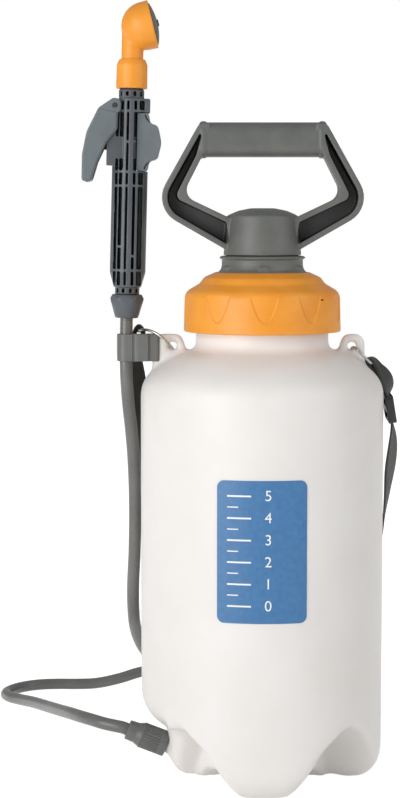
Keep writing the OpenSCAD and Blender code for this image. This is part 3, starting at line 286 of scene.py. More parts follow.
def copy_of(node, name):
    """A merged copy of a CAD node's mesh as a new piece, selected and active."""
    bpy.ops.object.select_all(action="DESELECT")
    made = bpy.data.objects.new(name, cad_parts[node].data.copy())
    made.data.materials.clear()
    bpy.context.scene.collection.objects.link(made)
    made.select_set(True)
    bpy.context.view_layer.objects.active = made
    bpy.ops.object.mode_set(mode="EDIT")
    bpy.ops.mesh.select_all(action="SELECT")
    bpy.ops.mesh.remove_doubles(threshold=merge_gap)
    bpy.ops.object.mode_set(mode="OBJECT")
    return made


def apply_modifier(piece, kind, **settings):
    """Adds one modifier with its settings and applies it."""
    made = piece.modifiers.new(kind.lower(), kind)
    for name, value in settings.items():
        setattr(made, name, value)
    bpy.context.view_layer.objects.active = piece
    bpy.ops.object.modifier_apply(modifier=made.name)


bottle = copy_of("tank", "bottle_skin")
shape = bmesh.new()
shape.from_mesh(bottle.data)
tree_of_faces = BVHTree.FromBMesh(shape)
# A face that can be seen from inside the bottle belongs to the wall's inner side.
lookouts = [Vector((0, 0, 0.15)), Vector((0, 0, 0.06)), Vector((0.03, 0.0, 0.045)), Vector((0, 0, 0.30))]
for k in range(look_ways):
    a = 2 * math.pi * k / look_ways
    lookouts.append(Vector((look_r * math.cos(a), look_r * math.sin(a), look_z)))
inner = []
for face in shape.faces:
    middle = face.calc_center_median() + face.normal * off_face
    for lookout in lookouts:
        way = lookout - middle
        if tree_of_faces.ray_cast(middle, way.normalized(), way.length)[0] is None:
            inner.append(face)
            break
bmesh.ops.delete(shape, geom=inner, context="FACES")
shape.to_mesh(bottle.data)
shape.free()
bpy.ops.object.mode_set(mode="EDIT")
bpy.ops.mesh.select_all(action="SELECT")
bpy.ops.mesh.fill_holes(sides=0)
bpy.ops.mesh.quads_convert_to_tris()
bpy.ops.object.mode_set(mode="OBJECT")
apply_modifier(bottle, "REMESH", mode="VOXEL", voxel_size=tank_voxel)
apply_modifier(bottle, "SMOOTH", factor=0.5, iterations=skin_rounds)
for vertex in bottle.data.vertices:
    turn = math.degrees(math.atan2(vertex.co.y, vertex.co.x)) + foot_pitch / 2
    turn = abs(turn % foot_pitch - foot_pitch / 2)
    for (near, near_lift), (far, far_lift) in zip(valley_lift, valley_lift[1:]):
        if near <= turn <= far:
            lift = near_lift + (far_lift - near_lift) * (turn - near) / (far - near)
    below = min(1.0, max(0.0, (valley_high - vertex.co.z) / valley_fade))
    off_axis = min(1.0, max(0.0, (math.hypot(vertex.co.x, vertex.co.y) - valley_inner) / valley_fade))
    vertex.co.z += lift * below * off_axis
foot = bottle.vertex_groups.new(name="foot")
for vertex in bottle.data.vertices:
    weight = min(1.0, (foot_high - vertex.co.z) / foot_fade, vertex.co.z / foot_rest)
    foot.add([vertex.index], max(0.0, weight), "REPLACE")
apply_modifier(bottle, "SMOOTH", factor=0.5, iterations=foot_rounds, vertex_group="foot")
pocket = bottle.vertex_groups.new(name="pocket_corners")
for vertex in bottle.data.vertices:
    away = min((vertex.co - Vector(corner)).length for corner in pocket_corners)
    pocket.add([vertex.index], max(0.0, 1 - away / pocket_ease), "REPLACE")
apply_modifier(bottle, "SMOOTH", factor=0.5, iterations=pocket_rounds, vertex_group="pocket_corners")
apply_modifier(bottle, "DECIMATE", ratio=skin_keep)
bpy.ops.object.mode_set(mode="EDIT")
bpy.ops.mesh.select_all(action="DESELECT")
shape = bmesh.from_edit_mesh(bottle.data)
for face in shape.faces:
    middle = face.calc_center_median()
    face.select = middle.z > neck_top - neck_rim and math.hypot(middle.x, middle.y) < neck_bore_r
bmesh.update_edit_mesh(bottle.data)
bpy.ops.mesh.delete(type="FACE")
bpy.ops.object.mode_set(mode="OBJECT")
apply_modifier(bottle, "SOLIDIFY", thickness=tank_wall, offset=-1)
bpy.ops.object.shade_smooth()

# Natural high-density polyethylene: milky, satin and a little see-through. Blow moulding leaves a cloudy
# tone, a faint orange-peel skin and a fine parting line down both sides.
skin_cloud, skin_peel = 0.060, 0.0025
seam_flat, seam_edge = 0.0002, 0.0007
peel_share = 0.12
polyethylene, tree, out = new_material("natural_blow_moulded_polyethylene")
where = add_node(tree, "ShaderNodeTexCoord")
cloud = add_node(tree, "ShaderNodeTexNoise", {"Scale": 1 / skin_cloud, "Detail": 2.0},
                 {"Vector": where.outputs["Object"]})
tone = add_node(tree, "ShaderNodeValToRGB", links={"Fac": cloud.outputs["Fac"]})
tone.color_ramp.elements[0].position = 0.3
tone.color_ramp.elements[0].color = linear("#ece7e2")
tone.color_ramp.elements[1].position = 0.7
tone.color_ramp.elements[1].color = linear("#f2eeea")
peel = add_node(tree, "ShaderNodeTexNoise", {"Scale": 1 / skin_peel, "Detail": 2.0},
                {"Vector": where.outputs["Object"]})
axes = add_node(tree, "ShaderNodeSeparateXYZ", links={"Vector": where.outputs["Object"]})
off_seam = add_node(tree, "ShaderNodeMath", links={0: axes.outputs["Y"]}, operation="ABSOLUTE")
seam = add_node(tree, "ShaderNodeMapRange",
                {"From Min": seam_flat, "From Max": seam_edge, "To Min": 1.0, "To Max": 0.0},
                {"Value": off_seam.outputs[0]})
height = add_node(tree, "ShaderNodeMath", {1: peel_share}, {0: peel.outputs["Fac"], 2: seam.outputs[0]},
                  operation="MULTIPLY_ADD")
skin = add_node(tree, "ShaderNodeBump", {"Strength": 0.25, "Distance": 0.0004},
                {"Height": height.outputs[0]})
rough = add_node(tree, "ShaderNodeMapRange", {"To Min": 0.38, "To Max": 0.5},
                 {"Value": peel.outputs["Fac"]})
body = add_node(tree, "ShaderNodeBsdfPrincipled",
                {"IOR": 1.54, "Subsurface Weight": 0.25, "Subsurface Radius": (0.02, 0.018, 0.016),
                 "Subsurface Scale": 0.4},
                {"Base Color": tone.outputs["Color"], "Roughness": rough.outputs[0],
                 "Normal": skin.outputs[0]})
tree.links.new(body.outputs[0], out.inputs["Surface"])
bottle.data.materials.append(polyethylene)
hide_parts("tank")
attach(bottle, "bottle")

# Contents panel: a thin blue in-mould label with rounded corners, fused on the front of the wall.
# It carries a plain scale with a mark for each litre.
panel_low, panel_high = 0.1298, 0.2303
panel_left, panel_right = -0.0344, 0.0296
panel_r = 0.005
panel_columns = 32
wall_r = 0.089
label_proud = 0.00025


def wrap(piece, proud):
    """Bends a flat piece, drawn in X and Z, round the front of the wall."""
    for vertex in piece.data.vertices:
        a = vertex.co.x / wall_r
        r = wall_r + proud + vertex.co.y
        vertex.co = (r * math.sin(a), -r * math.cos(a), vertex.co.z)


def flat_plate(name, left, right, low, high, columns, corner=0.0):
    """A flat upright rectangle in X and Z with rounded corners, cut into columns so that it can bend."""
    bpy.ops.object.select_all(action="DESELECT")
    bpy.ops.mesh.primitive_plane_add(size=1)
    made = bpy.context.object
    made.name = name
    bpy.ops.object.mode_set(mode="EDIT")
    bpy.ops.transform.resize(value=(right - left, high - low, 1))
    if corner:
        bpy.ops.mesh.bevel(offset=corner, segments=8, affect="VERTICES")
    for i in range(1, columns):
        bpy.ops.mesh.select_all(action="SELECT")
        bpy.ops.mesh.bisect(plane_co=((i / columns - 0.5) * (right - left), 0, 0), plane_no=(1, 0, 0))
    bpy.ops.object.mode_set(mode="OBJECT")
    for vertex in made.data.vertices:
        vertex.co = (vertex.co.x + (left + right) / 2, 0, vertex.co.y + (low + high) / 2)
    return made


panel = flat_plate("contents_panel", panel_left, panel_right, panel_low, panel_high, panel_columns,
                   corner=panel_r)
wrap(panel, label_proud)
apply_modifier(panel, "SOLIDIFY", thickness=label_proud, offset=-1)

# Printed polypropylene film: an even ink under a smooth varnish, with a trace of print mottle.
print_mottle = 0.004
film, tree, out = new_material("blue_printed_label_film")
where = add_node(tree, "ShaderNodeTexCoord")
mottle = add_node(tree, "ShaderNodeTexNoise", {"Scale": 1 / print_mottle, "Detail": 3.0},
                  {"Vector": where.outputs["Object"]})
tone = add_node(tree, "ShaderNodeValToRGB", links={"Fac": mottle.outputs["Fac"]})
tone.color_ramp.elements[0].position = 0.3
tone.color_ramp.elements[0].color = linear("#3d72a4")
tone.color_ramp.elements[1].position = 0.7
tone.color_ramp.elements[1].color = linear("#467bad")
rough = add_node(tree, "ShaderNodeMapRange", {"To Min": 0.32, "To Max": 0.42},
                 {"Value": mottle.outputs["Fac"]})
body = add_node(tree, "ShaderNodeBsdfPrincipled", {"IOR": 1.49},
                {"Base Color": tone.outputs["Color"], "Roughness": rough.outputs[0]})
tree.links.new(body.outputs[0], out.inputs["Surface"])
panel.data.materials.append(film)
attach(panel, "bottle")

# Litre scale: white ink printed on the panel, a short and a long mark by turns and a plain numeral
# beside each long one.
scale_low, scale_step, scale_litres = 0.142, 0.0155, 5
mark_left, long_right, short_right = -0.027, -0.010, -0.019
long_half, short_half = 0.0006, 0.0004
long_columns, short_columns = 8, 4
numeral_x, numeral_size = 0.002, 0.0105
ink_proud = 0.00012
marks = []
for i in range(scale_litres + 1):
    z = scale_low + scale_step * i
    marks.append(flat_plate("mark", mark_left, long_right, z - long_half, z + long_half, long_columns))
    if i < scale_litres:
        half_way = z + scale_step / 2
        marks.append(flat_plate("mark", mark_left, short_right, half_way - short_half, half_way + short_half,
                                short_columns))
    bpy.ops.object.select_all(action="DESELECT")
    bpy.ops.object.text_add()
    numeral = bpy.context.object
    numeral.data.body = str(i)
    numeral.data.size = numeral_size
    numeral.data.align_x = "CENTER"
    numeral.data.align_y = "CENTER"
    bpy.ops.object.convert(target="MESH")
    numeral = bpy.context.object
    for vertex in numeral.data.vertices:
        vertex.co = (vertex.co.x + numeral_x, 0, vertex.co.y + z)
    marks.append(numeral)
bpy.ops.object.select_all(action="DESELECT")
for mark in marks:
    mark.select_set(True)
bpy.context.view_layer.objects.active = marks[0]
bpy.ops.object.join()
litre_marks = bpy.context.object
litre_marks.name = "litre_marks"
wrap(litre_marks, label_proud + ink_proud)

# White screen ink: matt, and a little thin over the blue.
ink_grain = 0.0015
ink, tree, out = new_material("white_screen_ink")
where = add_node(tree, "ShaderNodeTexCoord")
thin = add_node(tree, "ShaderNodeTexNoise", {"Scale": 1 / ink_grain, "Detail": 2.0},
                {"Vector": where.outputs["Object"]})
tone = add_node(tree, "ShaderNodeValToRGB", links={"Fac": thin.outputs["Fac"]})
tone.color_ramp.elements[0].color = linear("#e6ebf0")
tone.color_ramp.elements[1].color = linear("#f7f8f8")
body = add_node(tree, "ShaderNodeBsdfPrincipled", {"Roughness": 0.5},
                {"Base Color": tone.outputs["Color"]})
tree.links.new(body.outputs[0], out.inputs["Surface"])
litre_marks.data.materials.append(ink)
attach(litre_marks, "bottle")

# Hose union at the outlet: a ribbed nut, moulded in mid-grey polypropylene, draws the hose tail down on
# its seal. The ribs give wet fingers a hold, and their edges are eased as the mould eases them.
plastic_cloud, plastic_grain, plastic_relief = 0.018, 0.0007, 0.12
gloss_spread = 0.07
# How open a surface is, by ambient occlusion, where painted shade is full and where it fades out
painted_shade_full, painted_shade_none = 0.25, 0.75


def moulded(name, dark, light, rough, hollow=0.0):
    """Injection-moulded plastic: a faint cloud of flow in its colour and a fine sparked grain on its skin.
    Hollows about as narrow as a given width get painted shade: their colour is mixed toward a dark grey by
    ambient occlusion."""
    made, tree, out = new_material(name)
    where = add_node(tree, "ShaderNodeTexCoord")
    flow = add_node(tree, "ShaderNodeTexNoise", {"Scale": 1 / plastic_cloud, "Detail": 2.0},
                    {"Vector": where.outputs["Object"]})
    tone = add_node(tree, "ShaderNodeValToRGB", links={"Fac": flow.outputs["Fac"]})
    tone.color_ramp.elements[0].position = 0.3
    tone.color_ramp.elements[0].color = linear(dark)
    tone.color_ramp.elements[1].position = 0.7
    tone.color_ramp.elements[1].color = linear(light)
    colour = tone.outputs["Color"]
    if hollow:
        open_sky = add_node(tree, "ShaderNodeAmbientOcclusion", {"Distance": hollow}, only_local=True,
                            samples=16)
        unshaded_share = add_node(tree, "ShaderNodeMapRange", {"From Min": painted_shade_full, "From Max": painted_shade_none},
                         {"Value": open_sky.outputs["AO"]})
        # Painted shade: a dark grey mixed into the colour where little sky is open, in narrow hollows and
        # corners.
        film = add_node(tree, "ShaderNodeMix", {6: linear("#262726")}, {0: unshaded_share.outputs[0], 7: colour},
                        data_type="RGBA")
        colour = film.outputs[2]
    spark = add_node(tree, "ShaderNodeTexNoise", {"Scale": 1 / plastic_grain, "Detail": 2.0},
                     {"Vector": where.outputs["Object"]})
    gloss = add_node(tree, "ShaderNodeMapRange",
                     {"To Min": rough - gloss_spread, "To Max": rough + gloss_spread},
                     {"Value": spark.outputs["Fac"]})
    skin = add_node(tree, "ShaderNodeBump", {"Strength": plastic_relief, "Distance": 0.0002},
                    {"Height": spark.outputs["Fac"]})
    body = add_node(tree, "ShaderNodeBsdfPrincipled", {"IOR": 1.49},
                    {"Base Color": colour, "Roughness": gloss.outputs[0], "Normal": skin.outputs[0]})
    tree.links.new(body.outputs[0], out.inputs["Surface"])
    return made


def eased(node, name, material, body, voxel, rounds, keep=0.5):
    """A copy of a CAD node with its edges eased, as a moulding's are, in the node's place."""
    made = copy_of(node, name)
    apply_modifier(made, "REMESH", mode="VOXEL", voxel_size=voxel)
    apply_modifier(made, "SMOOTH", factor=0.5, iterations=rounds)
    apply_modifier(made, "DECIMATE", ratio=keep)
    bpy.ops.object.shade_smooth()
    made.data.materials.append(material)
    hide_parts(node)
    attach(made, body)
    return made


grey_plastic = moulded("mid_grey_polypropylene", "#616360", "#6b6d6a", rough=0.42)
eased("outlet_nut", "outlet_union_nut", grey_plastic, "bottle", voxel=0.00025, rounds=1)
dress(grey_plastic, "outlet_tail", "wand_tail")

# Parking clip: the same grey polypropylene. It is pushed on the left ear's edge and its open ring holds
# the hose just below the wand, so that the wand stands upright beside the bottle.
parking_clip = eased("wand_clip", "parking_clip", grey_plastic, "bottle", voxel=0.0004, rounds=4)
# Two shallow grooves down the clip's front, each as x, y and radius
clip_grooves = [(-0.0932, -0.0078, 0.0021), (-0.0823, -0.0074, 0.0010)]
clip_middle_z = 0.3074
groove_l = 0.04


def cut_away(piece, cutter):
    """Cuts a helper solid out of a piece and deletes the helper."""
    bpy.ops.object.select_all(action="DESELECT")
    piece.select_set(True)
    apply_modifier(piece, "BOOLEAN", object=cutter, operation="DIFFERENCE", solver="EXACT")
    bpy.data.objects.remove(cutter)


for x, y, r in clip_grooves:
    bpy.ops.mesh.primitive_cylinder_add(vertices=24, radius=r, depth=groove_l,
                                        location=(x, y, clip_middle_z))
    cut_away(parking_clip, bpy.context.object)

# Relief valve: a grey polypropylene body pressed into the rear of the shoulder, with a red knob that is
# pulled to let the pressure out. A steel spring holds its seal down.
red_plastic = moulded("red_acetal", "#9c3428", "#aa3d30", rough=0.35)
dress(grey_plastic, "relief_body", "relief_cap")
dress(red_plastic, "relief_knob")

# Steel wire and rod: drawn bright, with fine lengthwise draw marks and a faint grey bloom.
draw_mark = 0.0005
steel, tree, out = new_material("bright_drawn_steel")
where = add_node(tree, "ShaderNodeTexCoord")
long_marks = add_node(tree, "ShaderNodeMapping", {"Scale": (1.0, 1.0, 0.06)},
                      {"Vector": where.outputs["Object"]})
drawn = add_node(tree, "ShaderNodeTexNoise", {"Scale": 1 / draw_mark, "Detail": 2.0},
                 {"Vector": long_marks.outputs[0]})
tone = add_node(tree, "ShaderNodeValToRGB", links={"Fac": drawn.outputs["Fac"]})
tone.color_ramp.elements[0].color = linear("#a9a49c")
tone.color_ramp.elements[1].color = linear("#d0ccc5")
gloss = add_node(tree, "ShaderNodeMapRange", {"To Min": 0.2, "To Max": 0.36},
                 {"Value": drawn.outputs["Fac"]})
body = add_node(tree, "ShaderNodeBsdfPrincipled", {"Metallic": 1.0},
                {"Base Color": tone.outputs["Color"], "Roughness": gloss.outputs[0]})
tree.links.new(body.outputs[0], out.inputs["Surface"])
dress(steel, "relief_spring", "valve_spring", "piston_rod")

# Screw collar: orange polypropylene, injection moulded, with ten shallow U-shaped finger recesses in its
# skirt that run out at the shoulder. It is screwed down over the neck and clamps the pump's flange.
collar_z = 0.3294
collar_r, collar_taper, collar_skirt = 0.0574, 0.0008, 0.0276
# Radius, height above the skirt's edge and rounding of each corner of its section
collar_line = [(0.0489, 0, 0), (collar_r, 0, 0.0008), (0.0566, 0.0285, 0.008), (0.0460, 0.0347, 0.007),
               (0.0425, 0.0393, 0.006), (0.0344, 0.0430, 0.0012), (0.0328, 0.0430, 0.0008),
               (0.0328, 0.0269, 0), (0.0489, 0.0269, 0)]
collar_steps, corner_steps = 180, 5
collar_voxel, collar_rounds, collar_keep = 0.0004, 2, 0.25
recesses = 10
recess_low, recess_high = 0.3374, 0.3624
recess_half = math.radians(11.6)
recess_depth = 0.0008
recess_columns = 16
recess_rise, recess_over, recess_out = 0.95, 0.008, 0.004
orange_plastic = moulded("orange_polypropylene", "#ee9728", "#f4a135", rough=0.42)


def rounded(line):
    """The corners (r, z, radius) of a closed section as points, with each corner rounded."""
    points = []
    for i, (r, z, radius) in enumerate(line):
        here = Vector((r, z))
        to_last = (Vector(line[i - 1][:2]) - here).normalized()
        to_next = (Vector(line[(i + 1) % len(line)][:2]) - here).normalized()
        if not radius:
            points.append(here)
            continue
        half = to_last.angle(to_next) / 2
        middle = here + (to_last + to_next).normalized() * radius / math.sin(half)
        start = here + to_last * radius / math.tan(half) - middle
        end = here + to_next * radius / math.tan(half) - middle
        for k in range(corner_steps + 1):
            points.append(middle + start.slerp(end, k / corner_steps) * radius)
    return points


section = [(r, 0, collar_z + z) for r, z in rounded(collar_line)]
collar_mesh = bpy.data.meshes.new("screw_collar")
collar_mesh.from_pydata(section, [(i, (i + 1) % len(section)) for i in range(len(section))], [])
screw_collar = bpy.data.objects.new("screw_collar", collar_mesh)
bpy.context.scene.collection.objects.link(screw_collar)
bpy.ops.object.select_all(action="DESELECT")
screw_collar.select_set(True)
bpy.context.view_layer.objects.active = screw_collar
bpy.ops.object.mode_set(mode="EDIT")
bpy.ops.mesh.select_all(action="SELECT")
bpy.ops.mesh.spin(steps=collar_steps, angle=2 * math.pi, center=(0, 0, 0), axis=(0, 0, 1))
bpy.ops.mesh.select_all(action="SELECT")
bpy.ops.mesh.remove_doubles(threshold=merge_gap)
bpy.ops.mesh.normals_make_consistent(inside=False)
bpy.ops.object.mode_set(mode="OBJECT")
shape = bmesh.new()
for i in range(recesses):
    columns = []
    for k in range(recess_columns + 1):
        across = 2 * k / recess_columns - 1
        a = 2 * math.pi * i / recesses - math.pi / 2 + recess_half * across
        low = recess_low + (recess_high - recess_low) * across ** 2 * recess_rise
        column = []
        for z in (low, recess_high + recess_over):
            wall = collar_r - collar_taper * (z - collar_z) / collar_skirt
            for r in (wall - recess_depth, wall + recess_out):
                column.append(shape.verts.new((r * math.cos(a), r * math.sin(a), z)))
        columns.append(column)
    for last, this in zip(columns, columns[1:]):
        for m, n in ((0, 1), (1, 3), (3, 2), (2, 0)):
            shape.faces.new((last[m], last[n], this[n], this[m]))
    for column in (columns[0], columns[-1]):
        shape.faces.new([column[k] for k in (0, 1, 3, 2)])
bmesh.ops.recalc_face_normals(shape, faces=shape.faces)
cutter_mesh = bpy.data.meshes.new("recess_cutter")
shape.to_mesh(cutter_mesh)
shape.free()
recess_cutter = bpy.data.objects.new("recess_cutter", cutter_mesh)
bpy.context.scene.collection.objects.link(recess_cutter)
cut_away(screw_collar, recess_cutter)
apply_modifier(screw_collar, "REMESH", mode="VOXEL", voxel_size=collar_voxel)
apply_modifier(screw_collar, "SMOOTH", factor=0.5, iterations=collar_rounds)
apply_modifier(screw_collar, "DECIMATE", ratio=collar_keep)
bpy.ops.object.shade_smooth()
collar_mesh.materials.append(orange_plastic)
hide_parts("collar")
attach(screw_collar, "collar")

# Slot of the collar: a short slot let into the skirt, cut square after the edges are eased.
slot_at = (0.0418, -0.0384, 0.3537)
slot_size = (0.0032, 0.005, 0.0011)
slot_turn = math.atan2(slot_at[1], slot_at[0]) + math.pi / 2
bpy.ops.object.select_all(action="DESELECT")
bpy.ops.mesh.primitive_cube_add(size=1, location=slot_at, rotation=(0, 0, slot_turn))
slot_cutter = bpy.context.object
bpy.ops.transform.resize(value=slot_size, orient_type="LOCAL")
cut_away(screw_collar, slot_cutter)

# Neck thread: a shallow ridge of the bottle's own polyethylene, about two turns up the neck, which the
# collar screws on. It shows when the pump is lifted out.
thread_low, thread_pitch, thread_turns = 0.333, 0.005, 2.2
neck_r = 0.0484
thread_rise, thread_sink, thread_half = 0.0003, 0.0004, 0.0011
thread_steps, thread_fade = 160, 8
shape = bmesh.new()
rows = []
for i in range(thread_steps + 1):
    a = 2 * math.pi * thread_turns * i / thread_steps
    z = thread_low + thread_pitch * thread_turns * i / thread_steps
    fade = min(1.0, thread_fade * i / thread_steps, thread_fade * (1 - i / thread_steps))
    section = [(-thread_sink, -thread_half), (thread_rise * fade, -thread_half / 3),
               (thread_rise * fade, thread_half / 3), (-thread_sink, thread_half)]
    row = []
    for d, h in section:
        row.append(shape.verts.new(((neck_r + d) * math.cos(a), (neck_r + d) * math.sin(a), z + h)))
    rows.append(row)
for low, high in zip(rows, rows[1:]):
    for k in range(4):
        shape.faces.new((low[k], high[k], high[(k + 1) % 4], low[(k + 1) % 4]))
shape.faces.new(rows[0])
shape.faces.new(reversed(rows[-1]))
bmesh.ops.recalc_face_normals(shape, faces=shape.faces)
thread_mesh = bpy.data.meshes.new("neck_thread")
shape.to_mesh(thread_mesh)
shape.free()
neck_thread = bpy.data.objects.new("neck_thread", thread_mesh)
bpy.context.scene.collection.objects.link(neck_thread)
thread_mesh.materials.append(polyethylene)
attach(neck_thread, "bottle")

# Pump: a white polypropylene barrel hangs in the neck, closed by a grey gland above and by a caged
# check valve below. The piston rides in it on a steel tube.
pale_plastic = moulded("natural_polypropylene", "#d6d5cf", "#dedcd7", rough=0.4)
dress(pale_plastic, "pump_barrel", "check_cage", "piston")
eased("pump_gland", "rod_gland", grey_plastic, "pump", voxel=0.0006, rounds=2)

# Handle: one moulding of grey polypropylene. Its arms are open channels with a web down their middle,
# so that the wall is nowhere thick, and the grip bar joins them through two raised cuffs.
handle_plastic = moulded("handle_grey_polypropylene", "#5d5f5c", "#676965", rough=0.46, hollow=0.024)
eased("pump_handle", "handle", handle_plastic, "handle", voxel=0.0007, rounds=2, keep=0.3)

# Wand: a ribbed body of blue-grey glass-filled nylon, moulded in one piece with windows between its
# long ribs. The hose nut screws on below and the valve cap snaps in on the right.
# Painted shade darkens the colour in narrow hollows, such as the windows between the ribs.
wand_plastic = moulded("blue_grey_filled_nylon", "#4c5155", "#565b60", rough=0.4, hollow=0.006)
lever_plastic = moulded("light_blue_grey_nylon", "#646c70", "#6e767a", rough=0.36)
eased("wand_body", "ribbed_wand", wand_plastic, "bottle", voxel=0.00045, rounds=1, keep=0.35)
eased("wand_nut", "wand_hose_nut", wand_plastic, "bottle", voxel=0.0004, rounds=4)
eased("valve_cap", "wand_valve_cap", lever_plastic, "bottle", voxel=0.0003, rounds=2)

# Trigger: a hollow lever in the lighter nylon with a flat raised face on each cheek. It turns on a
# blackened steel pin and pushes the black valve stem.
eased("trigger", "trigger_lever", lever_plastic, "lever", voxel=0.0004, rounds=3)
wand_foot = (-0.0992, 0.339)
wand_lean = math.radians(1.45)
cheek_y, face_rise, face_edge = 0.0095, 0.0007, 0.0004
# Outline of a face in millimetres, across and along the wand
face_line = [(-10.2, 148.6), (-10.2, 137.4), (-17.9, 127.6), (-24.4, 112.5), (-28.1, 100.4),
             (-31, 99.4), (-33.6, 100.4), (-33.6, 118), (-32.8, 126.5), (-30.7, 134.2), (-27, 142.2),
             (-23.2, 149.6), (-21.4, 150.2)]
faces = []
for side in (1, -1):
    bpy.ops.object.select_all(action="DESELECT")
    plate = bpy.data.meshes.new("trigger_faces")
    corners = []
    for x, z in face_line:
        corners.append((wand_foot[0] + x / 1000 * math.cos(wand_lean) + z / 1000 * math.sin(wand_lean),
                        side * cheek_y,
                        wand_foot[1] - x / 1000 * math.sin(wand_lean) + z / 1000 * math.cos(wand_lean)))
    order = range(len(corners)) if side > 0 else range(len(corners) - 1, -1, -1)
    plate.from_pydata(corners, [], [list(order)])
    made = bpy.data.objects.new("trigger_faces", plate)
    bpy.context.scene.collection.objects.link(made)
    made.select_set(True)
    apply_modifier(made, "SOLIDIFY", thickness=face_rise, offset=1)
    apply_modifier(made, "BEVEL", width=face_edge, segments=2)
    faces.append(made)
faces[0].select_set(True)
bpy.ops.object.join()
trigger_faces = bpy.context.object
trigger_faces.data.materials.append(lever_plastic)
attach(trigger_faces, "lever")
dark_steel = moulded("blackened_steel", "#2e3032", "#383b3d", rough=0.4)
dress(dark_steel, "trigger_pin")
dress(rubber, "valve_stem")

# Spray rose: an orange elbow that swivels in its nut, with a grey drilled face plate snapped in.
# The elbow and the nut are mouldings of the collar's polypropylene, and the nut sits on the wand's tip.
eased("rose_elbow", "rose_head", orange_plastic, "rose", voxel=0.0005, rounds=5)
eased("rose_nut", "rose_swivel_nut", orange_plastic, "bottle", voxel=0.0004, rounds=3)
dress(grey_plastic, "rose_plate")

# Strap rings: two split rings of bright steel wire, bent open by hand, passed through the ears and
# closed again round the strap's end loops.
ring_wire_d = 0.002
ear_left = (-0.0655, 0, 0.3184)
ear_right = (0.0655, 0, 0.3184)
# Points of each loop in millimetres from the middle of its ear's hole
left_loop = [(0, 0, -2.1), (-2.5, -6, 1.5), (-8, -8, 7), (-15, -5, 11), (-22, 1.5, 11.8),
             (-25, 7.5, 10.4), (-25.2, 13.5, 10.1), (-25, 19.5, 9.8), (-21.5, 23, 7), (-15, 20, 2),
             (-8, 13.5, -2), (-2.5, 6.5, -1)]
right_loop = [(0, 0, -2.1), (2.2, -5.5, -1.2), (6, -8, -4.5), (10.5, -6.5, -9), (14, -2, -12.4),
              (14.8, 4, -13), (14.8, 12.5, -13), (12.5, 17, -11), (7.5, 14.5, -6), (2.4, 7, -1.4)]


def wire_ring(name, ear, loop, node):
    """A closed loop of round wire through one ear."""
    line = bpy.data.curves.new(name, "CURVE")
    line.dimensions = "3D"
    line.bevel_depth = ring_wire_d / 2
    line.bevel_resolution = 4
    line.resolution_u = 8
    strand = line.splines.new("BEZIER")
    strand.use_cyclic_u = True
    strand.bezier_points.add(len(loop) - 1)
    for offset, point in zip(loop, strand.bezier_points):
        point.co = [e + d / 1000 for e, d in zip(ear, offset)]
        point.handle_left_type = "AUTO"
        point.handle_right_type = "AUTO"
    made = bpy.data.objects.new(name, line)
    bpy.context.scene.collection.objects.link(made)
    bpy.ops.object.select_all(action="DESELECT")
    made.select_set(True)
    bpy.context.view_layer.objects.active = made
    bpy.ops.object.convert(target="MESH")
    made = bpy.context.object
    bpy.ops.object.shade_smooth()
    made.data.materials.append(steel)
    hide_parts(node)
    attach(made, "bottle")


wire_ring("left_strap_ring", ear_left, left_loop, "ring_left")
wire_ring("right_strap_ring", ear_right, right_loop, "ring_right")

# Carrying strap: black polypropylene webbing, 25 mm wide and woven flat. Each end is folded through its
# ring, gathered and stitched to itself, and the strap hangs slack behind the bottle.
strap_w, strap_t = 0.025, 0.0016
strap_steps, strap_columns = 8, 8
gather_least, gather_first, gather_last, gather_run = 0.4, 5, 5.8, 2.5
gather_thick, gather_bow, gather_waves, edge_thin = 0.8, 0.0004, 3, 0.6
# Points along the strap's middle in millimetres, and the way its width lies at each
strap_run = [(88, 8, 294.4), (83.6, 8, 299.8), (79.2, 8, 303.6), (77.2, 8, 307), (81.7, 8, 307.7),
             (86.2, 8, 302.2), (90.5, 8.2, 295.5), (93.3, 8.6, 287.4), (93.5, 9, 277), (95, 9.5, 268),
             (96.4, 10.2, 260), (97.2, 13, 245), (96.5, 18, 228), (95, 26, 205), (92, 38, 178),
             (85, 58, 148), (66, 86, 120), (36, 106, 103), (0, 112, 98), (-36, 106, 104),
             (-66, 86, 124), (-82, 62, 156), (-88, 50, 192), (-91, 41, 230), (-93.4, 34, 262),
             (-95, 28, 288), (-95.6, 23, 306), (-94.6, 16.5, 319), (-93.8, 13.5, 327.6),
             (-90.7, 13.5, 332), (-87.5, 13.5, 328), (-88.2, 13.5, 321), (-89.4, 14, 313.5)]
strap_lay = [(0.5, 0.85, 0.3), (0.5, 0.85, 0.3), (0.25, 1, 0.1), (0, 1, 0), (0.25, 1, 0.1),
             (0.55, 0.85, 0.3), (0.6, 0.8, 0.3), (0.4, 0.9, 0.2), (0, 1, 0), (0, 1, 0), (0.1, 1, 0.1),
             (0.35, 1, 0.2), (0.45, 1, 0.3), (0.3, 1, 0.4), (0.1, 0.8, 0.6), (-0.1, 0.6, 0.8),
             (-0.2, 0.3, 1), (0, 0, 1), (0, 0, 1), (0, 0, 1), (0.2, 0.3, 1), (0.1, 0.6, 0.8),
             (0.1, 0.85, 0.55), (0.3, 1, 0.3), (0.6, 0.8, 0.1), (0.75, 0.65, 0), (0.7, 0.7, 0),
             (0.35, 0.95, 0)] + [(0, 1, 0)] * 5


def smooth_run(points, steps):
    """A smooth curve through points, with even steps between neighbours."""
    line = []
    for i in range(len(points) - 1):
        a, b, c, d = (Vector(points[min(max(k, 0), len(points) - 1)]) for k in (i - 1, i, i + 1, i + 2))
        for k in range(steps):
            t = k / steps
            line.append(b + 0.5 * t * (c - a + t * (2 * a - 5 * b + 4 * c - d + t * (3 * (b - c) + d - a))))
    return line + [Vector(points[-1])]


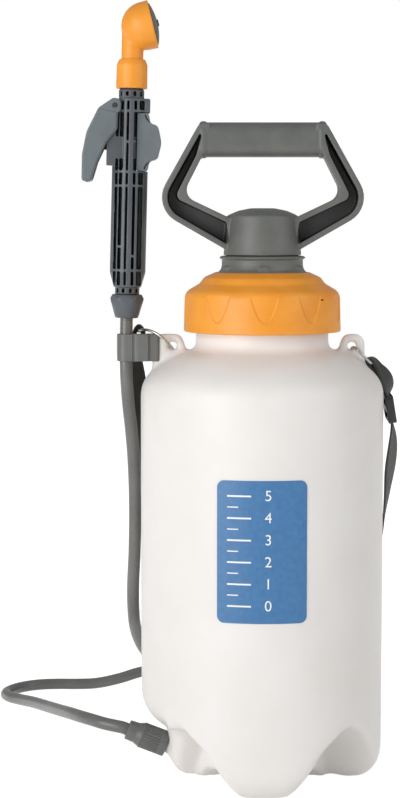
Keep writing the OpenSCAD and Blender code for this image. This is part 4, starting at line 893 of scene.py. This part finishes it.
strap_line = [point / 1000 for point in smooth_run(strap_run, strap_steps)]
strap_across = smooth_run(strap_lay, strap_steps)
shape = bmesh.new()
weave = shape.loops.layers.uv.new("weave")
rows = []
along = [0.0]
for i, point in enumerate(strap_line):
    way = (strap_line[min(i + 1, len(strap_line) - 1)] - strap_line[max(i - 1, 0)]).normalized()
    wide = (strap_across[i] - way * strap_across[i].dot(way)).normalized()
    out_of = way.cross(wide)
    place = i / strap_steps
    inside = min(place - gather_first, len(strap_run) - gather_last - place)
    gather = gather_least + (1 - gather_least) * min(1, max(0, inside / gather_run))
    thick = strap_t * (1 + gather_thick * (1 - gather) / (1 - gather_least))
    if i:
        along.append(along[-1] + (point - strap_line[i - 1]).length)
    row = []
    for side in (1, -1):
        for k in range(strap_columns + 1):
            u = (k / strap_columns - 0.5) * side
            bow = gather_bow * (1 - gather) * math.sin(2 * math.pi * gather_waves * u)
            edge = edge_thin if k in (0, strap_columns) else 1.0
            rise = side * edge * thick / 2 + bow
            row.append(shape.verts.new(point + wide * (u * strap_w * gather) + out_of * rise))
    rows.append(row)
sides = len(rows[0])
for i in range(len(rows) - 1):
    for k in range(sides):
        n = (k + 1) % sides
        face = shape.faces.new((rows[i][k], rows[i + 1][k], rows[i + 1][n], rows[i][n]))
        face.smooth = True
        for loop, (m, j) in zip(face.loops, ((k, i), (k, i + 1), (n, i + 1), (n, i))):
            across = m if m <= strap_columns else 2 * strap_columns + 1 - m
            loop[weave].uv = (across / strap_columns * strap_w, along[j])
shape.faces.new(reversed(rows[0]))
shape.faces.new(rows[-1])
bmesh.ops.recalc_face_normals(shape, faces=shape.faces)
strap_mesh = bpy.data.meshes.new("carrying_strap")
shape.to_mesh(strap_mesh)
shape.free()
carrying_strap = bpy.data.objects.new("carrying_strap", strap_mesh)
bpy.context.scene.collection.objects.link(carrying_strap)

# Webbing: twisted yarns about 1.2 mm wide, laid over and under each other, so the light breaks into
# rows of small ridges with darker gaps.
yarn_pair, pick_pair = 0.0026, 0.0022
webbing, tree, out = new_material("black_polypropylene_webbing")
woven = add_node(tree, "ShaderNodeUVMap", uv_map="weave")
axes = add_node(tree, "ShaderNodeSeparateXYZ", links={"Vector": woven.outputs["UV"]})
yarn = add_node(tree, "ShaderNodeMath", {1: 2 * math.pi / yarn_pair}, {0: axes.outputs["X"]},
                operation="MULTIPLY")
pick = add_node(tree, "ShaderNodeMath", {1: 2 * math.pi / pick_pair}, {0: axes.outputs["Y"]},
                operation="MULTIPLY")
over = add_node(tree, "ShaderNodeMath", links={0: yarn.outputs[0]}, operation="SINE")
under = add_node(tree, "ShaderNodeMath", links={0: pick.outputs[0]}, operation="SINE")
cloth = add_node(tree, "ShaderNodeMath", links={0: over.outputs[0], 1: under.outputs[0]},
                 operation="MULTIPLY")
level = add_node(tree, "ShaderNodeMapRange", {"From Min": -1.0, "From Max": 1.0},
                 {"Value": cloth.outputs[0]})
tone = add_node(tree, "ShaderNodeValToRGB", links={"Fac": level.outputs[0]})
tone.color_ramp.elements[0].color = linear("#20201e")
tone.color_ramp.elements[1].color = linear("#393a36")
ridge = add_node(tree, "ShaderNodeBump", {"Strength": 0.6, "Distance": 0.0004},
                 {"Height": level.outputs[0]})
body = add_node(tree, "ShaderNodeBsdfPrincipled", {"Roughness": 0.7, "Sheen Weight": 0.2},
                {"Base Color": tone.outputs["Color"], "Normal": ridge.outputs[0]})
tree.links.new(body.outputs[0], out.inputs["Surface"])
strap_mesh.materials.append(webbing)
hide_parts("strap")
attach(carrying_strap, "bottle")

# Strap slider: black acetal with two slots, on the straight stretch below the right ring.
# It is a flat moulding that the strap is threaded through to set its length.
black_plastic = moulded("black_acetal", "#242424", "#2e2e2e", rough=0.4)
eased("strap_slider", "strap_adjuster", black_plastic, "bottle", voxel=0.0004, rounds=3)
